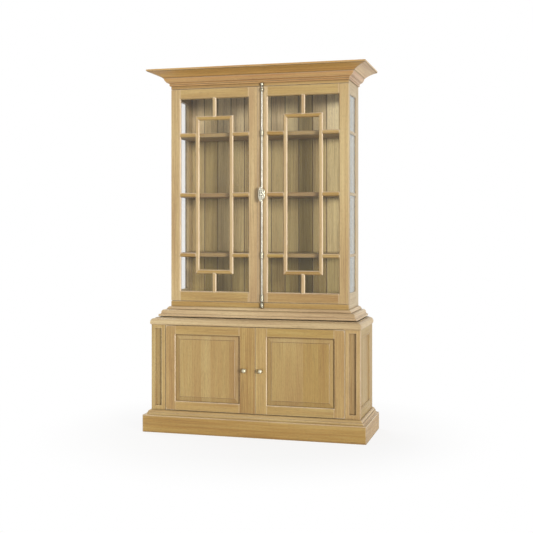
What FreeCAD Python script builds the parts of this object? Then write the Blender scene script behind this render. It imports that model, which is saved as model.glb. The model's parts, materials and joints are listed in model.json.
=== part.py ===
import FreeCAD, Part
import math
import os

# A two-part glazed bookcase in oak, at its real size in millimetres.
# +X is the right of the front as one faces it, -Y is the front and +Z is up.
# The origin is the middle of the footprint, on the floor.

os.makedirs("parts", exist_ok=True)
V = FreeCAD.Vector

# Overall sizes
overall_height = 2400.0
plinth_width = 1492.0
plinth_depth = 518.0
waist_height = 752.0

# How far the lower case stands out beyond the upper case, on each side and in front
side_ledge = 94.5
front_ledge = 116.0

# Plinth and base moulding
plinth_height = 108.0
plinth_projection = 46.0
plinth_board = 22.0
bearer_width = 45.0
bearer_count = 4
base_moulding_height = 35.0
base_fillet = 3.0
base_round = 16.0
base_step = 4.0
base_lip = 4.0
base_lip_step = 4.0

# Lower case
pilaster_width = 96.0
pilaster_depth = 40.0
flute_width = 44.0
flute_depth = 12.0
flute_top_margin = 23.0
flute_foot_margin = 29.0
side_board = 24.0
lower_rear_stile = 110.0
lower_side_head_rail = 60.0
lower_side_foot_rail = 67.0
floor_board = 22.0
lower_back_board = 10.0
side_panel_board = 10.0
top_board = 46.0
top_overhang = 8.0
top_setback = 20.0
top_fillet = 4.0
top_quirk = 4.0
top_under_round = 12.0
top_edge_flat = 4.0

# Panels held in grooves
panel_board = 14.0
panel_tongue = 6.0
groove_depth = 9.0
panel_recess = 4.0
panel_play = 0.15
panel_field_step = 2.5
panel_bevel = 30.0
panel_bevel_fall = 3.5
side_panel_recess = 7.0
lower_sticking = 5.0
lower_sticking_step = 1.0

# Shelves
shelf_board = 26.0
shelf_play = 1.5
shelf_nosing = 3.0
shelf_lead = 13.0
shelf_count = 3
end_light_height = 241.0
pin_radius = 3.0
pin_length = 22.0
pin_hole_share = 0.5
pin_front_inset = 13.0
pin_rear_inset = 38.0
shelf_bearer = 18.0

# Lower doors
lower_door_board = 22.0
lower_stile = 69.0
lower_rail = 60.0
lower_meeting_line = 17.0
lower_meeting_reach = 93.0
door_gap = 3.0
meeting_gap = 2.0
lower_side_gap = 2.5
lower_pivot_inset = 4.5
lower_pivot_depth = 5.5
door_arris = 1.5
knob_radius = 15.5
knob_reach = 36.0
knob_rose_radius = 10.5
knob_rose_rim = 1.5
knob_rose_height = 4.0
knob_neck_radius = 5.0
knob_neck_length = 7.0
knob_under_height = 9.0
knob_offset = 54.0
screw_radius = 2.0
screw_head_radius = 4.0
screw_head_height = 2.2

# Upper case
waist_projection = 66.0
waist_moulding_gap = 6.0
waist_moulding_height = 64.0
waist_lip = 13.0
waist_lip_step = 4.0
waist_hollow_width = 10.0
waist_hollow_height = 12.0
waist_low_round_width = 16.0
waist_low_round_height = 18.0
waist_high_round_width = 20.0
waist_fillet = 2.0
upper_rail_height = 104.0
frieze_height = 122.0
front_stile = 25.1
upper_rear_stile = 90.0
upper_side_foot_rail = 69.0
upper_side_head_rail = 68.0
side_bar_height = 20.0
side_sticking = 4.0
side_sticking_step = 0.5
side_glass_recess = 5.5
glass_thickness = 4.0
glass_hold = 8.0
glass_play = 0.15
plank_board = 12.0
plank_count = 12
plank_groove = 3.0
plank_tongue = 5.0
plank_tongue_thickness = 4.0
plank_play = 0.3
upper_top_board = 22.0

# Cornice
cornice_projection = 130.0
crown_height = 51.0
bed_height = 51.0
crown_fillet = 11.0
crown_step = 5.0
crown_hollow_step = 3.0
crown_foot_projection = 44.0
bed_bead = 6.0
bed_bead_step = 4.0
bed_hollow_projection = 10.0
bed_round_projection = 27.0
bed_hollow_height = 12.0
bed_round_step = 3.0
bed_head_projection = 40.0

# Upper doors
door_board = 24.0
door_stile = 65.0
door_rail = 66.0
door_side_inset = 0.5
swing_clearance = 2.5
stop_clearance = 0.4
sticking = 7.0
sticking_step = 1.5
front_lip = 12.0
rebate = 9.0
bar_width = 28.0
lattice_width = 265.0
lattice_margin = 116.0
bead_chamfer = 4.0
pivot_inset = 6.0
pivot_depth = 12.0

# Door stops and catches
stop_height = 36.0
stop_drop = 20.0
stop_board = 14.6
stop_end_margin = 30.0
magnet_radius = 5.0
magnet_depth = 6.0
strike_radius = 7.0
strike_depth = 1.0
catch_reach = 90.0
catch_drop = 9.0

# Pivot hinges
plate_length = 60.0
plate_width = 12.0
plate_thickness = 2.5
lower_plate_width = 9.0
pivot_pin_radius = 2.5
lower_pivot_pin_radius = 2.0
pivot_pin_length = 14.0
pivot_play = 0.05
collar_wall = 2.0
collar_play = 0.4
pin_end_room = 1.5
pin_side_room = 0.6

# Cremone bolt
bolt_offset = 30.0
rod_radius = 6.0
rod_stand_off = 2.5
rod_play = 0.05
keeper_play = 0.6
rod_tip_inset = 1.0
rod_tip_round = 2.0
guide_wall = 3.0
guide_bead = 5.0
guide_bead_swell = 2.5
guide_plate = 2.2
guide_stud_radius = 2.5
guide_stud_length = 14.0
top_guide_height = 20.0
top_guide_drop = 12.0
bottom_guide_height = 42.0
bottom_guide_rise = 6.0
middle_guide_height = 40.0
keeper_gap = 1.0
top_keeper_height = 18.0
bottom_keeper_height = 30.0
casing_width = 40.0
casing_height = 78.0
casing_plate = 2.0
casing_wall = 3.0
casing_cavity = 13.0
casing_round = 3.5
casing_post_radius = 3.0
casing_post_side = 11.5
casing_post_rise = 26.5
casing_screw_radius = 1.5
casing_screw_head_radius = 2.8
casing_screw_head_height = 1.6
casing_screw_grip = 14.0
gear_module = 1.0
gear_teeth = 16
gear_backlash = 0.3
gear_thickness = 6.0
pressure_angle = 20.0
rack_back = 2.6
rack_bridge = 3.4
rack_bridge_gap = 1.2
rack_spare = 5.0
handle_turn = 90.0
spindle_radius = 4.0
spindle_reach = 12.0
spindle_collar_radius = 7.0
spindle_collar_play = 0.4
spindle_end_room = 0.5
handle_length = 98.0
handle_width = 34.0
handle_thickness = 7.0
handle_ring_width = 8.0
handle_boss_radius = 8.0
handle_boss_height = 4.0
handle_spoke_width = 7.0
handle_bead_radius = 2.4
handle_bead_sink = 0.6
handle_bead_height = 2.2
handle_bead_count = 26
handle_edge = 1.2
handle_bar_height = 4.0
handle_bar_shares = (-0.66, -0.38, 0.38, 0.66)

# Bolts that join the two cases
bolt_radius = 4.0
bolt_head_radius = 8.0
bolt_head_height = 6.0
bolt_grip = 40.0
bolt_play = 0.5
bolt_side_inset = 12.0
bolt_front_share = 0.3
bolt_rear_share = 0.8

# One length by which cutting tools overrun what they cut
overrun = 5.0

# Arc heights as shares of their chords
half_round_share = 1 / 2
crown_hollow_share = 0.055
bed_round_share = 0.1

# Derived planes and places
half_plinth = plinth_width / 2
half_lower = half_plinth - plinth_projection
half_upper = half_lower - side_ledge
back = plinth_depth / 2
plinth_front_y = -back
lower_front = plinth_front_y + plinth_projection
upper_front = lower_front + front_ledge
base_moulding_top = plinth_height + base_moulding_height
top_underside = waist_height - top_board
lower_inner = half_lower - side_board
pilaster_inner = half_lower - pilaster_width
pilaster_back = lower_front + pilaster_depth
lower_door_foot = base_moulding_top + door_gap
lower_door_head = top_underside - door_gap
lower_door_outer = pilaster_inner - lower_side_gap
lower_door_back = lower_front + lower_door_board
lower_pivot_x = lower_door_outer - lower_pivot_inset
lower_pivot_y = lower_front + lower_pivot_depth
lower_middle = (lower_door_foot + lower_door_head) / 2
waist_moulding_foot = waist_height + waist_moulding_gap
upper_rail_top = waist_height + upper_rail_height
frieze_foot = overall_height - frieze_height
crown_foot = overall_height - crown_height
bed_foot = crown_foot - bed_height
upper_inner = half_upper - side_board
rail_board = door_board + stop_clearance
rail_back = upper_front + rail_board
plank_front = back - plank_board
front_stile_back = rail_back + front_stile
door_foot = upper_rail_top + door_gap
door_head = frieze_foot - door_gap
door_middle = (door_foot + door_head) / 2
door_outer = half_upper - door_side_inset
door_inner = meeting_gap / 2
door_back = upper_front + door_board
pivot_x = door_outer - pivot_inset
pivot_y = upper_front + pivot_depth
opening_inner = door_inner + door_stile
opening_outer = door_outer - door_stile
opening_foot = door_foot + door_rail
opening_head = door_head - door_rail
glass_front = upper_front + front_lip
glass_back = glass_front + glass_thickness
shelf_front = front_stile_back - shelf_lead
shelf_spacing = (opening_head - opening_foot - 2 * end_light_height) / (shelf_count - 1)
shelf_levels = [opening_foot + end_light_height + n * shelf_spacing for n in range(shelf_count)]
rod_axis_y = upper_front - rod_stand_off - rod_radius
bolt_middle = door_middle
gear_pitch_radius = gear_module * gear_teeth / 2
rod_travel = gear_pitch_radius * math.radians(handle_turn)
casing_front = upper_front - casing_plate - casing_cavity - casing_wall


def box(x0, x1, y0, y1, z0, z1):
    """A block between two opposite corners."""
    return Part.makeBox(x1 - x0, y1 - y0, z1 - z0, V(x0, y0, z0))


def rod(start, direction, radius, length):
    """A round bar from a point along a direction."""
    return Part.makeCylinder(radius, length, start, direction)


def quarter_curve(start, corner, end):
    """A quarter of an ellipse from start to end, tangent to both lines that meet at the corner."""
    curve = Part.BezierCurve()
    curve.setPoles([start, corner, end])
    curve.setWeight(2, math.sqrt(1 / 2))
    return curve.toShape()


def outline_wire(points, place):
    """A closed wire through (u, v) points; a third value curves the run up to that point.

    "rise" is a quarter of an ellipse that leaves along v, and "run" is one that leaves along u.
    A number is an arc, given as its height over its chord, to the left when positive.
    """
    edges = []
    previous = points[-1]
    for point in points:
        start = previous[:2]
        end = point[:2]
        turn = point[2] if len(point) == 3 else None
        if turn is None:
            edges.append(Part.LineSegment(place(*start), place(*end)).toShape())
        elif turn == "rise":
            edges.append(quarter_curve(place(*start), place(start[0], end[1]), place(*end)))
        elif turn == "run":
            edges.append(quarter_curve(place(*start), place(end[0], start[1]), place(*end)))
        else:
            across = (end[0] - start[0], end[1] - start[1])
            middle = ((start[0] + end[0]) / 2 - across[1] * turn, (start[1] + end[1]) / 2 + across[0] * turn)
            edges.append(Part.Arc(place(*start), place(*middle), place(*end)).toShape())
        previous = point
    return Part.Wire(edges)


def prism(points, place, travel):
    """An outline, placed in space and pushed along a vector."""
    return Part.Face(outline_wire(points, place)).extrude(travel)


def plan_prism(points, z0, z1):
    """A plan outline pushed up from z0 to z1."""
    return prism(points, lambda x, y: V(x, y, z0), V(0, 0, z1 - z0))


def spun(points, centre, direction):
    """A (radius, height) outline turned about an axis through a centre."""
    turned = Part.Face(outline_wire(points, lambda r, h: V(r, 0, h)))
    solid = turned.revolve(V(0, 0, 0), V(0, 0, 1), 360)
    solid.Placement = FreeCAD.Placement(centre, FreeCAD.Rotation(V(0, 0, 1), direction))
    return solid


def mirrored(shape):
    """The same piece on the other side of the cabinet."""
    return shape.mirror(V(0, 0, 0), V(1, 0, 0))


def round_corner_run(profile, half_width, front_y):
    """A moulding along the front and both sides, mitred at the two front corners.

    The profile is in (projection, height), with projection counted outwards from the case.
    """
    outer = max(point[0] for point in profile) + overrun
    inner = min(point[0] for point in profile) - overrun
    foot = min(point[1] for point in profile) - overrun
    head = max(point[1] for point in profile) + overrun
    reach = half_width + outer
    front_run = prism(profile, lambda p, z: V(-reach, front_y - p, z), V(2 * reach, 0, 0))
    front_plan = [(-half_width - outer, front_y - outer), (half_width + outer, front_y - outer),
                  (half_width + inner, front_y - inner), (-half_width - inner, front_y - inner)]
    front = front_run.common(plan_prism(front_plan, foot, head))
    side_length = back - front_y + outer
    side_run = prism(profile, lambda p, z: V(half_width + p, front_y - outer, z), V(0, side_length, 0))
    side_plan = [(half_width + outer, front_y - outer), (half_width + outer, back),
                 (half_width + inner, back), (half_width + inner, front_y - inner)]
    right = side_run.common(plan_prism(side_plan, foot, head))
    return [front, mirrored(right), right]


def only_solid(shape):
    """The one solid that a shape holds."""
    return shape.Solids[0]


def opening_cutter(u0, u1, v0, v1, width, step, depth):
    """The space of an opening in a frame whose face is the plane y = 0, with its moulded edge.

    The edge is a small step and a quarter round, mitred at the corners. The opening lies
    between u0 and u1 along X and between v0 and v1 along Z, and goes in as far as depth.
    """
    cutter = box(u0, u1, -overrun, depth, v0, v1)
    edge = [(0, -overrun), (width, -overrun), (width, step), (0, step + width, "run")]
    runs = []
    for along_z, line, outward in ((True, u0, -1), (True, u1, 1), (False, v0, -1), (False, v1, 1)):
        if along_z:
            run = prism(edge, lambda d, h: V(line + outward * d, h, v0 - width), V(0, 0, v1 - v0 + 2 * width))
            plan = [(line, v0), (line + outward * width, v0 - width),
                    (line + outward * width, v1 + width), (line, v1)]
        else:
            run = prism(edge, lambda d, h: V(u0 - width, h, line + outward * d), V(u1 - u0 + 2 * width, 0, 0))
            plan = [(u0, line), (u0 - width, line + outward * width),
                    (u1 + width, line + outward * width), (u1, line)]
        mitre = prism(plan, lambda u, v: V(u, -overrun, v), V(0, overrun + step + 2 * width, 0))
        runs.append(run.common(mitre))
    return cutter.fuse(runs)


def moulded_bar(u0, u1, v0, v1, along_z, width, step, depth):
    """A glazing bar in front of the plane y = depth, with the moulded edge on both long sides."""
    middle = (u0 + u1) / 2 if along_z else (v0 + v1) / 2
    half = (u1 - u0) / 2 if along_z else (v1 - v0) / 2
    section = [(-half + width, 0), (half - width, 0), (half - width, step), (half, step + width, "run"),
               (half, depth), (-half, depth), (-half, step + width), (-half + width, step, "rise")]
    if along_z:
        return prism(section, lambda d, h: V(middle + d, h, v0), V(0, 0, v1 - v0))
    return prism(section, lambda d, h: V(u0, h, middle + d), V(u1 - u0, 0, 0))


def moved(shape, dx, dy, dz):
    """A copy of a shape, shifted."""
    copy = shape.copy()
    copy.translate(V(dx, dy, dz))
    return copy


def to_right_side(shape, face_x):
    """A front-facing shape turned to face +X, with its face on the plane x = face_x."""
    copy = shape.copy()
    copy.rotate(V(0, 0, 0), V(0, 0, 1), 90)
    copy.translate(V(face_x, 0, 0))
    return copy


def plinth_boards():
    """The three mitred boards that show, at the front and both ends."""
    board = [(plinth_projection, 0), (plinth_projection, plinth_height),
             (plinth_projection - plinth_board, plinth_height), (plinth_projection - plinth_board, 0)]
    return round_corner_run(board, half_lower, lower_front)


def plinth_back():
    """The board that closes the plinth behind."""
    inside = half_plinth - plinth_board
    return box(-inside, inside, back - plinth_board, back, 0, plinth_height)


def plinth_bearers():
    """Boards on edge from front to back that carry the lower case."""
    spread = lower_inner - bearer_width
    bearers = []
    for n in range(bearer_count):
        middle = -spread + 2 * spread * n / (bearer_count - 1)
        bearers.append(box(middle - bearer_width / 2, middle + bearer_width / 2,
                           plinth_front_y + plinth_board, back - plinth_board, 0, plinth_height))
    return bearers


def base_moulding():
    """The moulding that steps in from the plinth to the lower case."""
    hollow_head = base_moulding_top - base_round - base_step
    hollow_top_projection = base_fillet + base_round + base_step
    profile = [(0, plinth_height), (plinth_projection, plinth_height),
               (plinth_projection, plinth_height + base_lip),
               (plinth_projection - base_lip_step, plinth_height + base_lip),
               (hollow_top_projection, hollow_head, "run"),
               (hollow_top_projection, base_moulding_top - base_round),
               (base_fillet + base_round, base_moulding_top - base_round),
               (base_fillet, base_moulding_top, "rise"),
               (0, base_moulding_top)]
    return round_corner_run(profile, half_lower, lower_front)


def pilaster():
    """The right corner post, with its sunk flute."""
    post = box(pilaster_inner, half_lower, lower_front, pilaster_back, plinth_height, top_underside)
    middle = (pilaster_inner + half_lower) / 2
    flute = box(middle - flute_width / 2, middle + flute_width / 2,
                lower_front - overrun, lower_front + flute_depth,
                base_moulding_top + flute_foot_margin, top_underside - flute_top_margin)
    return post.cut(flute)


def lower_side():
    """Rear stile, foot rail and head rail of the right side, with the panel that they hold."""
    v0 = base_moulding_top + lower_side_foot_rail
    v1 = top_underside - lower_side_head_rail
    u0 = pilaster_back
    u1 = back - lower_rear_stile
    opening = opening_cutter(u0, u1, v0, v1, lower_sticking, lower_sticking_step, side_board + overrun)
    groove_front = side_panel_recess
    groove = box(u0 - groove_depth, u1 + groove_depth, groove_front, groove_front + side_panel_board,
                 v0 - groove_depth, v1 + groove_depth)
    members = [box(u1, back, 0, side_board, plinth_height, top_underside),
               box(u0, u1, 0, side_board, plinth_height, v0),
               box(u0, u1, 0, side_board, v1, top_underside)]
    frame = [to_right_side(member.cut(opening).cut(groove), half_lower) for member in members]
    panel = box(u0, u1 + groove_depth, groove_front, groove_front + side_panel_board,
                v0 - groove_depth, v1 + groove_depth)
    return frame, to_right_side(panel, half_lower)


def lower_floor():
    """The bottom board of the lower case, notched round the corner posts, with its hinge pockets."""
    z0 = base_moulding_top - floor_board
    rear = box(-lower_inner, lower_inner, pilaster_back, back - lower_back_board, z0, base_moulding_top)
    front = box(-pilaster_inner, pilaster_inner, lower_front, pilaster_back, z0, base_moulding_top)
    board = rear.fuse(front).removeSplitter()
    return cut_all(board, lower_case_hinges())


def lower_back():
    """The thin board that closes the back of the lower case."""
    return box(-lower_inner, lower_inner, back - lower_back_board, back, plinth_height, top_underside)


def nosed_shelf(half_width, front_y, back_y, middle):
    """A shelf with a fine chamfer along both front arrises."""
    z0 = middle - shelf_board / 2
    z1 = middle + shelf_board / 2
    section = [(front_y, z0 + shelf_nosing), (front_y + shelf_nosing, z0), (back_y, z0),
               (back_y, z1), (front_y + shelf_nosing, z1), (front_y, z1 - shelf_nosing)]
    return prism(section, lambda y, z: V(-half_width, y, z), V(2 * half_width, 0, 0))


def lower_shelf():
    """The loose shelf of the lower case."""
    return nosed_shelf(lower_inner - shelf_play, pilaster_back + shelf_play,
                       back - lower_back_board - shelf_play, lower_middle)


def upper_shelf(level):
    """A shelf of the upper case, level with a row of glazing bars."""
    return nosed_shelf(upper_inner - shelf_play, shelf_front, plank_front - shelf_play, level)


def shelf_pin(inner_x, y, shelf_middle):
    """One shelf pin on the right side, half of it in the wood."""
    z = shelf_middle - shelf_board / 2 - pin_radius
    start = inner_x + pin_length * pin_hole_share
    return rod(V(start, y, z), V(-1, 0, 0), pin_radius, pin_length)


def upper_pin_places():
    """Places of the right-hand pins of the upper case, as (inner face, y, shelf level)."""
    ys = (front_stile_back - pin_front_inset, back - pin_rear_inset)
    return [(upper_inner, y, level) for level in shelf_levels for y in ys]


def shelf_pins():
    """The pins that carry the upper shelves, as separate solids."""
    right = [shelf_pin(*place) for place in upper_pin_places()]
    return right + [mirrored(pin) for pin in right]


def lower_shelf_bearers():
    """Two battens fixed to the corner posts and rear stiles, under the ends of the lower shelf."""
    head = lower_middle - shelf_board / 2
    right = box(lower_inner - shelf_bearer, lower_inner, pilaster_back, back - lower_back_board,
                head - shelf_bearer, head)
    return [mirrored(right), right]


def lower_top():
    """The top of the lower case, with its moulded front and side edges."""
    edge_foot = top_underside + top_under_round
    quirk_z = waist_height - top_fillet
    inset = top_setback + top_quirk
    profile = [(-inset, top_underside), (0, top_underside),
               (top_overhang, edge_foot, "run"),
               (top_overhang, edge_foot + top_edge_flat),
               (-top_setback + top_quirk, quirk_z, "rise"),
               (-top_setback, quirk_z),
               (-top_setback, waist_height),
               (-inset, waist_height)]
    edges = round_corner_run(profile, half_lower, lower_front)
    core = box(-half_lower + inset, half_lower - inset, lower_front + inset, back, top_underside, waist_height)
    board = core.fuse(edges).removeSplitter()
    return cut_all(board, lower_case_hinges() + case_bolt_spaces())


def case_bolt_places():
    """Plan places of the bolts, in the middle of the upper side frames."""
    x = half_upper - bolt_side_inset
    run = back - rail_back
    ys = [rail_back + run * share for share in (bolt_front_share, bolt_rear_share)]
    return [(side * x, y) for side in (-1, 1) for y in ys]


def case_bolts():
    """Bolts that go up through the lower case's top into the upper side frames."""
    bolts = []
    for x, y in case_bolt_places():
        head = rod(V(x, y, top_underside), V(0, 0, 1), bolt_head_radius, bolt_head_height)
        shank = rod(V(x, y, top_underside), V(0, 0, 1), bolt_radius, top_board + bolt_grip)
        bolts.append(head.fuse(shank).removeSplitter())
    return bolts


def case_bolt_spaces():
    """Clearance holes for the bolts in the lower case's top."""
    spaces = []
    for x, y in case_bolt_places():
        recess = rod(V(x, y, top_underside - overrun), V(0, 0, 1),
                     bolt_head_radius + bolt_play, bolt_head_height + overrun)
        hole = rod(V(x, y, top_underside), V(0, 0, 1), bolt_radius + bolt_play, top_board + overrun)
        spaces += [recess, hole]
    return spaces


def case_bolt_threads():
    """The bolts' seats in the upper side frames."""
    return [rod(V(x, y, waist_height - overrun), V(0, 0, 1), bolt_radius, bolt_grip + overrun)
            for x, y in case_bolt_places()]


def waist_moulding():
    """The moulding round the foot of the upper case: two rounds over a hollow and a lip."""
    lip_head = waist_moulding_foot + waist_lip
    head = waist_moulding_foot + waist_moulding_height
    hollow_foot_p = waist_projection - waist_lip_step
    low_round_p = hollow_foot_p - waist_hollow_width
    low_round_foot = lip_head + waist_hollow_height
    ledge = low_round_foot + waist_low_round_height
    high_round_p = waist_fillet + waist_high_round_width
    profile = [(0, waist_moulding_foot), (waist_projection, waist_moulding_foot),
               (waist_projection, lip_head),
               (hollow_foot_p, lip_head),
               (low_round_p, low_round_foot, "run"),
               (low_round_p - waist_low_round_width, ledge, "rise"),
               (high_round_p, ledge),
               (waist_fillet, head, "rise"),
               (0, head)]
    return round_corner_run(profile, half_upper, upper_front)


def upper_floor():
    """The bottom board of the upper case."""
    return box(-upper_inner, upper_inner, rail_back, plank_front, upper_rail_top - floor_board, upper_rail_top)


def upper_bottom_rail():
    """The front rail under the glazed doors, with seats for the lower pivot plates and keeper."""
    rail = box(-half_upper, half_upper, upper_front, rail_back, waist_height, upper_rail_top)
    return cut_all(rail, upper_case_hinges() + [bottom_keeper()])


def frieze_rail():
    """The front rail over the glazed doors, with seats for the upper pivot plates and keeper."""
    rail = box(-half_upper, half_upper, upper_front, rail_back, frieze_foot, overall_height)
    return cut_all(rail, upper_case_hinges() + [top_keeper()])


def upper_side():
    """Front stile, rear stile, two rails and three glazing bars of the right side, and its pane."""
    u0 = front_stile_back
    u1 = back - upper_rear_stile
    v0 = upper_rail_top + upper_side_foot_rail
    v1 = frieze_foot - upper_side_head_rail
    opening = opening_cutter(u0, u1, v0, v1, side_sticking, side_sticking_step, side_board + overrun)
    pane_back = side_glass_recess + glass_thickness
    groove = box(u0 - glass_hold - glass_play, u1 + glass_hold + glass_play,
                 side_glass_recess, pane_back + glass_play,
                 v0 - glass_hold - glass_play, v1 + glass_hold + glass_play)
    swing_room = box(rail_back - overrun, rail_back + swing_clearance - stop_clearance,
                     -overrun, side_board + overrun, upper_rail_top, frieze_foot)
    members = [box(rail_back, u0, 0, side_board, waist_height, overall_height).cut(swing_room),
               box(u1, back, 0, side_board, waist_height, overall_height),
               box(u0, u1, 0, side_board, waist_height, v0),
               box(u0, u1, 0, side_board, v1, overall_height)]
    members = [member.cut(opening).cut(groove) for member in members]
    rebate_for_planks = box(plank_front, back + overrun, side_board - plank_groove,
                            side_board + overrun, waist_height - overrun, overall_height + overrun)
    members[1] = members[1].cut(rebate_for_planks)
    bars = []
    for level in shelf_levels:
        bar = moulded_bar(u0 - side_sticking, u1 + side_sticking,
                          level - side_bar_height / 2, level + side_bar_height / 2,
                          False, side_sticking, side_sticking_step, side_glass_recess)
        for member in members:
            bar = bar.cut(member)
        bars.append(only_solid(bar))
    seats = [rod(V(x, y, level - shelf_board / 2 - pin_radius), V(1, 0, 0), pin_radius, pin_length * pin_hole_share)
             for x, y, level in upper_pin_places()]
    frame = [to_right_side(member, half_upper) for member in members + bars]
    frame = [cut_all(member, seats + case_bolt_threads()) for member in frame]
    pane = box(u0 - glass_hold, u1 + glass_hold, side_glass_recess, pane_back, v0 - glass_hold, v1 + glass_hold)
    return frame, to_right_side(pane, half_upper)


def cut_all(shape, tools):
    """A shape less every tool that reaches it."""
    for tool in tools:
        if shape.BoundBox.intersect(tool.BoundBox):
            shape = shape.cut(tool)
    return only_solid(shape)


def back_planks():
    """Tongue and groove planks that close the back of the upper case, with a vee at each joint."""
    reach = upper_inner + plank_groove
    pitch = 2 * reach / plank_count
    tongue_front = (plank_board - plank_tongue_thickness) / 2
    tongue_back = tongue_front + plank_tongue_thickness
    planks = []
    for n in range(plank_count):
        x0 = -reach + n * pitch + plank_play / 2
        x1 = -reach + (n + 1) * pitch - plank_play / 2
        vee = plank_groove
        outline = [(x0 + vee, 0), (x1 - vee, 0), (x1, vee)]
        if n < plank_count - 1:
            outline += [(x1, tongue_front), (x1 + plank_tongue, tongue_front),
                        (x1 + plank_tongue, tongue_back), (x1, tongue_back)]
        outline += [(x1, plank_board), (x0, plank_board)]
        if n > 0:
            deep = plank_tongue + plank_play
            outline += [(x0, tongue_back + plank_play), (x0 + deep, tongue_back + plank_play),
                        (x0 + deep, tongue_front - plank_play), (x0, tongue_front - plank_play)]
        outline += [(x0, vee)]
        planks.append(prism(outline, lambda x, y: V(x, plank_front + y, waist_height),
                            V(0, 0, overall_height - waist_height)))
    return planks


def upper_top():
    """The top board of the upper case."""
    return box(-upper_inner, upper_inner, rail_back, plank_front,
               overall_height - upper_top_board, overall_height)


def cornice_crown():
    """The projecting part of the cornice: a fillet over a large hollow."""
    fillet_foot = overall_height - crown_fillet
    hollow_head_p = cornice_projection - crown_step
    profile = [(0, crown_foot), (crown_foot_projection, crown_foot),
               (crown_foot_projection, crown_foot + crown_hollow_step),
               (hollow_head_p, fillet_foot - crown_hollow_step, crown_hollow_share),
               (hollow_head_p, fillet_foot),
               (cornice_projection, fillet_foot),
               (cornice_projection, overall_height),
               (0, overall_height)]
    return round_corner_run(profile, half_upper, upper_front)


def cornice_bed():
    """The bed moulding of the cornice: a bead, a hollow, a step and a low round."""
    bead_top = bed_foot + 2 * bed_bead
    hollow_top = bead_top + bed_hollow_height
    profile = [(0, bed_foot), (bed_bead_step, bed_foot),
               (bed_bead_step, bead_top, -half_round_share),
               (bed_hollow_projection, bead_top),
               (bed_round_projection, hollow_top, "rise"),
               (bed_round_projection, hollow_top + bed_round_step),
               (bed_head_projection, crown_foot, -bed_round_share),
               (0, crown_foot)]
    return round_corner_run(profile, half_upper, upper_front)


def door_stops():
    """Strips that the doors close against, under the frieze and under the lower case's top."""
    reach = upper_inner - stop_end_margin
    upper = box(-reach, reach, rail_back, rail_back + stop_board,
                frieze_foot - stop_drop, frieze_foot - stop_drop + stop_height)
    lower_y = lower_door_back + stop_clearance
    lower_reach = pilaster_inner - stop_end_margin
    lower = box(-lower_reach, lower_reach, lower_y, lower_y + stop_board,
                lower_door_head - stop_drop + door_gap, top_underside)
    return [cut_all(strip, catch_magnets()) for strip in (upper, lower)]


def catch_places():
    """Centres of the catches on the stop strips' front faces: two on each strip."""
    upper = [(side * catch_reach, rail_back, door_head - catch_drop) for side in (-1, 1)]
    lower = [(side * catch_reach, lower_door_back + stop_clearance, lower_door_head - catch_drop)
             for side in (-1, 1)]
    return upper, lower


def catch_magnets():
    """Round magnets let into the stop strips."""
    upper, lower = catch_places()
    return [rod(V(*place), V(0, 1, 0), magnet_radius, magnet_depth) for place in upper + lower]


def strike(place, door_back_y):
    """The steel disc on a door's back that meets a magnet, let in flush."""
    return rod(V(place[0], door_back_y, place[2]), V(0, -1, 0), strike_radius, strike_depth)


def case_hinge(x, y, z, up, width, pin_radius_here):
    """The case half of a right-hand pivot: a plate let into the wood, a collar and a pin.

    The plate ends flush with the door's outer edge. The pin points up or down into the door.
    """
    side_end = x + width / 2
    z0, z1 = (z - plate_thickness, z) if up > 0 else (z, z + plate_thickness)
    plate = box(side_end - plate_length, side_end, y - width / 2, y + width / 2, z0, z1)
    start = V(x, y, z - up * plate_thickness)
    collar = rod(start, V(0, 0, up), pin_radius_here + collar_wall, plate_thickness + door_gap - collar_play)
    pin = rod(start, V(0, 0, up), pin_radius_here, plate_thickness + door_gap + pivot_pin_length)
    return plate.fuse([collar, pin]).removeSplitter()


def upper_case_hinges():
    """Four case-side pivots of the glazed doors."""
    right = [case_hinge(pivot_x, pivot_y, upper_rail_top, 1, plate_width, pivot_pin_radius),
             case_hinge(pivot_x, pivot_y, frieze_foot, -1, plate_width, pivot_pin_radius)]
    return right + [mirrored(hinge) for hinge in right]


def lower_case_hinges():
    """Four case-side pivots of the panelled doors."""
    right = [case_hinge(lower_pivot_x, lower_pivot_y, base_moulding_top, 1, lower_plate_width,
                        lower_pivot_pin_radius),
             case_hinge(lower_pivot_x, lower_pivot_y, top_underside, -1, lower_plate_width,
                        lower_pivot_pin_radius)]
    return right + [mirrored(hinge) for hinge in right]


def door_hinge(x, y, z, up, width, pin_radius_here):
    """The door half of a right-hand pivot: a plate with a running bore, let into the door's end."""
    side_end = x + width / 2
    z0, z1 = (z - plate_thickness, z) if up < 0 else (z, z + plate_thickness)
    plate = box(side_end - plate_length, side_end, y - width / 2, y + width / 2, z0, z1)
    bore = rod(V(x, y, z - up * overrun), V(0, 0, up), pin_radius_here + pivot_play,
               plate_thickness + 2 * overrun)
    return plate.cut(bore)


def pin_room(x, y, z, up, pin_radius_here):
    """The hole in the door's wood that the pivot pin runs in."""
    return rod(V(x, y, z), V(0, 0, up), pin_radius_here + pin_side_room, pivot_pin_length + pin_end_room)


def upper_door_hinges():
    """Two door-side pivots of the right glazed door and the space that they and the pins need."""
    ends = [(pivot_x, pivot_y, door_foot, 1), (pivot_x, pivot_y, door_head, -1)]
    plates = [door_hinge(*end, plate_width, pivot_pin_radius) for end in ends]
    rooms = [pin_room(*end, pivot_pin_radius) for end in ends]
    return plates, rooms


def lower_door_hinges():
    """Two door-side pivots of the right panelled door and the space that they and the pins need."""
    ends = [(lower_pivot_x, lower_pivot_y, lower_door_foot, 1), (lower_pivot_x, lower_pivot_y, lower_door_head, -1)]
    plates = [door_hinge(*end, lower_plate_width, lower_pivot_pin_radius) for end in ends]
    rooms = [pin_room(*end, lower_pivot_pin_radius) for end in ends]
    return plates, rooms


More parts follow.
